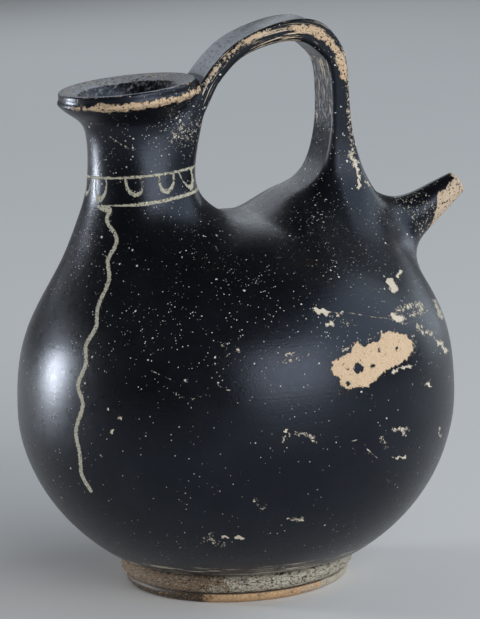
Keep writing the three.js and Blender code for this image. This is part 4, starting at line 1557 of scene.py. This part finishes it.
# out from the foot's inner wall, and up from the table
FOOT_PROFILE = [
    (0.8, 0.0), (4.4, 0.0), (5.2, 0.25), (5.8, 0.9), (6.1, 1.7), (6.1, 2.3), (5.8, 2.7), (6.0, 3.0),
    (6.7, 3.5), (7.3, 4.3), (7.5, 5.2), (7.45, 6.1), (7.1, 6.9), (6.5, 7.5), (5.6, 7.9), (4.6, 8.3),
    (1.2, 8.3), (0.4, 7.6), (0.0, 6.2), (0.0, 1.2), (0.25, 0.4),
]


def make_foot():
    """Rings of corners round the foot's axis, closed in both directions."""
    turn = np.linspace(0, 2 * math.pi, FOOT_SEGMENTS, endpoint=False)
    waver = 0.12 * np.sin(3 * turn + 0.6) + 0.07 * np.sin(7 * turn)
    corners = []
    for out, up in FOOT_PROFILE:
        lift = 0.08 * np.sin(2 * turn + 1) * (0.5 < up < FOOT_TRUE_TOP)
        wide = FOOT_INNER + out + waver * (up < FOOT_TRUE_TOP)
        corners.append(np.stack([FOOT_AXIS + wide * np.cos(turn), wide * np.sin(turn), up + lift], axis=1))
    rows = len(FOOT_PROFILE)
    faces = []
    for i in range(rows):
        for j in range(FOOT_SEGMENTS):
            k = (j + 1) % FOOT_SEGMENTS
            a, b = i * FOOT_SEGMENTS, (i + 1) % rows * FOOT_SEGMENTS
            faces.append((a + j, a + k, b + k, b + j))
    mesh = bpy.data.meshes.new("foot_ring_clay")
    mesh.from_pydata((np.concatenate(corners) * MM).tolist(), [], faces)
    mesh.polygons.foreach_set("use_smooth", [True] * len(faces))
    mesh.update()
    return mesh


print("foot ring:", round(2 * FOOT_RADIUS, 1), "mm wide")

# %% [markdown]
# The foot was dipped with the rest, but standing and washing have worn it down to orange clay. A chalky
# wash covers its upper band, and black slip is left in the groove and towards the neck.
# This finish is used once, so it is built from the shared groups straight in its material.

# %% the foot's finish
FOOT_ORANGE = (0.44, 0.24, 0.10, 1)
FOOT_BROWN = (0.14, 0.085, 0.05, 1)
FOOT_CHALK = (0.55, 0.52, 0.43, 1)
FOOT_BLACK = (0.012, 0.011, 0.011, 1)
FOOT_GLOSS = 0.3
FOOT_GROOVE = 2.75


def foot_black(tree, across, height, uneven, grain, upper):
    """Slip left in the groove, on the neck's side and in spots."""
    side = plus(tree, across, uneven)
    groove = sums(tree, "ABSOLUTE", minus(tree, height, FOOT_GROOVE))
    groove = times(tree, cut_off(tree, groove, 0.5, 0.1), cut_off(tree, side, 40.0, 0.0))
    slip_left = cut_off(tree, added(tree, uneven, 0.7, across), -19.0, -25.0)
    slip_left = times(tree, slip_left, cut_off(tree, height, 3.3, 2.7))
    slip_left = times(tree, slip_left, cut_off(tree, grain, 0.64, 0.56))
    spots = use(tree, salt_specks, Amount=0.55, Cell=1.0, Size=0.3)["Mask"]
    dashes = cut_off(tree, noise(tree, 1.0, 5, 0.7, (0.5, 0.5, 1.6)), 0.56, 0.60)
    blots = cut_off(tree, noise(tree, 0.3, 6, 0.75), 0.62, 0.66)
    return largest(tree, groove, slip_left, spots, times(tree, dashes, upper), blots)


def foot_material():
    """Orange clay with a chalky wash on its upper band and towards the spout."""
    material, tree, shader = new_material("foot_clay")
    clay_look = use(tree, fired_clay, Tan=FOOT_ORANGE, Stain=FOOT_BROWN, Staining=0.7)
    across, _, height = node(tree, "ShaderNodeSeparateXYZ", {0: place(tree)}).outputs
    uneven = spread(tree, noise(tree, 0.25, 6, 0.7), -30.0, 30.0)
    side = plus(tree, across, uneven)
    spout_side = cut_off(tree, side, 5.0, 9.0)
    neck_side = cut_off(tree, side, -16.0, -24.0)
    upper = cut_off(tree, height, 2.5, 3.1)
    grain = noise(tree, 2.8, 5, 0.72, (0.6, 0.6, 1))
    chalk = cut_off(tree, added(tree, neck_side, -0.11, grain), 0.38, 0.52)
    chalk = times(tree, chalk, largest(tree, upper, spout_side))
    black = foot_black(tree, across, height, uneven, grain, upper)
    colour = blend(tree, times(tree, upper, 0.8), clay_look["Color"], FOOT_BROWN)
    colour = blend(tree, chalk, colour, FOOT_CHALK)
    colour = blend(tree, times(tree, black, 0.92), colour, FOOT_BLACK)
    tree.links.new(colour, shader.inputs["Base Color"])
    tree.links.new(spread(tree, black, 0.85, 0.5), shader.inputs["Roughness"])
    shader.inputs["Specular IOR Level"].default_value = FOOT_GLOSS
    relief = times(tree, use(tree, wheel_lines, Fine=0.6)["Height"], 0.15)
    relief = added(tree, chalk, 0.12, relief)
    bump(tree, shader, added(tree, clay_look["Height"], 0.05, relief))
    return material


add_piece(make_foot(), "foot_ring_clay", ["foot_ring"], foot_material())

# %% [markdown]
# The stage is a plain pale floor, wide enough to fill every view. A disc is all it needs, in a matt
# paint that takes the pot's shadow and gives little shine of its own.

# %% floor
FLOOR_RADIUS, FLOOR_SIDES = 4.0, 96
FLOOR_PALE = (0.82, 0.82, 0.82, 1)
FLOOR_ROUGHNESS, FLOOR_GLOSS = 0.9, 0.1


def make_floor():
    turn = np.linspace(0, 2 * math.pi, FLOOR_SIDES, endpoint=False)
    rim = [(FLOOR_RADIUS * math.cos(t), FLOOR_RADIUS * math.sin(t), 0) for t in turn]
    mesh = bpy.data.meshes.new("floor")
    mesh.from_pydata(rim, [], [tuple(range(FLOOR_SIDES))])
    paint, _, shader = new_material("floor_paint")
    shader.inputs["Base Color"].default_value = FLOOR_PALE
    shader.inputs["Roughness"].default_value = FLOOR_ROUGHNESS
    shader.inputs["Specular IOR Level"].default_value = FLOOR_GLOSS
    mesh.materials.append(paint)
    made = bpy.data.objects.new("floor", mesh)
    bpy.context.collection.objects.link(made)
    return made


floor = make_floor()
print("floor:", 2 * FLOOR_RADIUS, "m across")

# %% [markdown]
# Gloss is seen by what it mirrors, so the softboxes are placed for their reflections. A broad one in
# front, a little to the right of the lens, draws the grey sheen on the belly. Two on the right lift the
# shoulder and the rim, a small strong one on the left makes the bright spot, and a low one behind
# shows the strap's edge. A dim even room keeps the black slip black.

# %% lights
COOL, COOLER = (0.94, 0.97, 1), (0.82, 0.91, 1)
# degrees round from the front and up, metres away, width, height, radiance, colour
SOFTBOXES = {
    "front_softbox": (12, 19, 1.4, 1.05, 0.8, 4.5, (1, 1, 1)),
    "right_softbox": (72, 32, 1.3, 1.6, 1.0, 1.7, COOLER),
    "right_rim": (116, 5, 1.3, 0.6, 0.5, 1.7, COOLER),
    "left_strip": (-126, 4, 1.0, 0.14, 0.26, 60, COOL),
    "back_softbox": (180, 20, 1.5, 1.5, 0.55, 1.1, (0.86, 0.93, 1)),
}
ROOM_COLOUR, ROOM_STRENGTH = (0.9, 0.95, 1.0, 1), 0.09


def softbox(name, azimuth, elevation, distance, width, height, radiance, colour):
    """A rectangle of light that faces the pot, at an angle round and above it."""
    a, e = math.radians(azimuth), math.radians(elevation)
    way = Vector((math.sin(a) * math.cos(e), -math.cos(a) * math.cos(e), math.sin(e)))
    lamp = bpy.data.lights.new(name, "AREA")
    lamp.shape = "RECTANGLE"
    lamp.size = width
    lamp.size_y = height
    lamp.energy = radiance * math.pi * width * height
    lamp.color = colour
    box = bpy.data.objects.new(name, lamp)
    box.location = way * distance + Vector(belly) * MM
    box.rotation_euler = way.to_track_quat("Z", "Y").to_euler()
    box.visible_camera = False
    bpy.context.collection.objects.link(box)


for name, values in SOFTBOXES.items():
    softbox(name, *values)
world = bpy.data.worlds.new("room")
bpy.context.scene.world = world
world.use_nodes = True
world.node_tree.nodes["Background"].inputs["Color"].default_value = ROOM_COLOUR
world.node_tree.nodes["Background"].inputs["Strength"].default_value = ROOM_STRENGTH
bpy.context.scene.view_settings.view_transform = "Standard"
print("lights:", [lamp.name for lamp in bpy.data.lights])
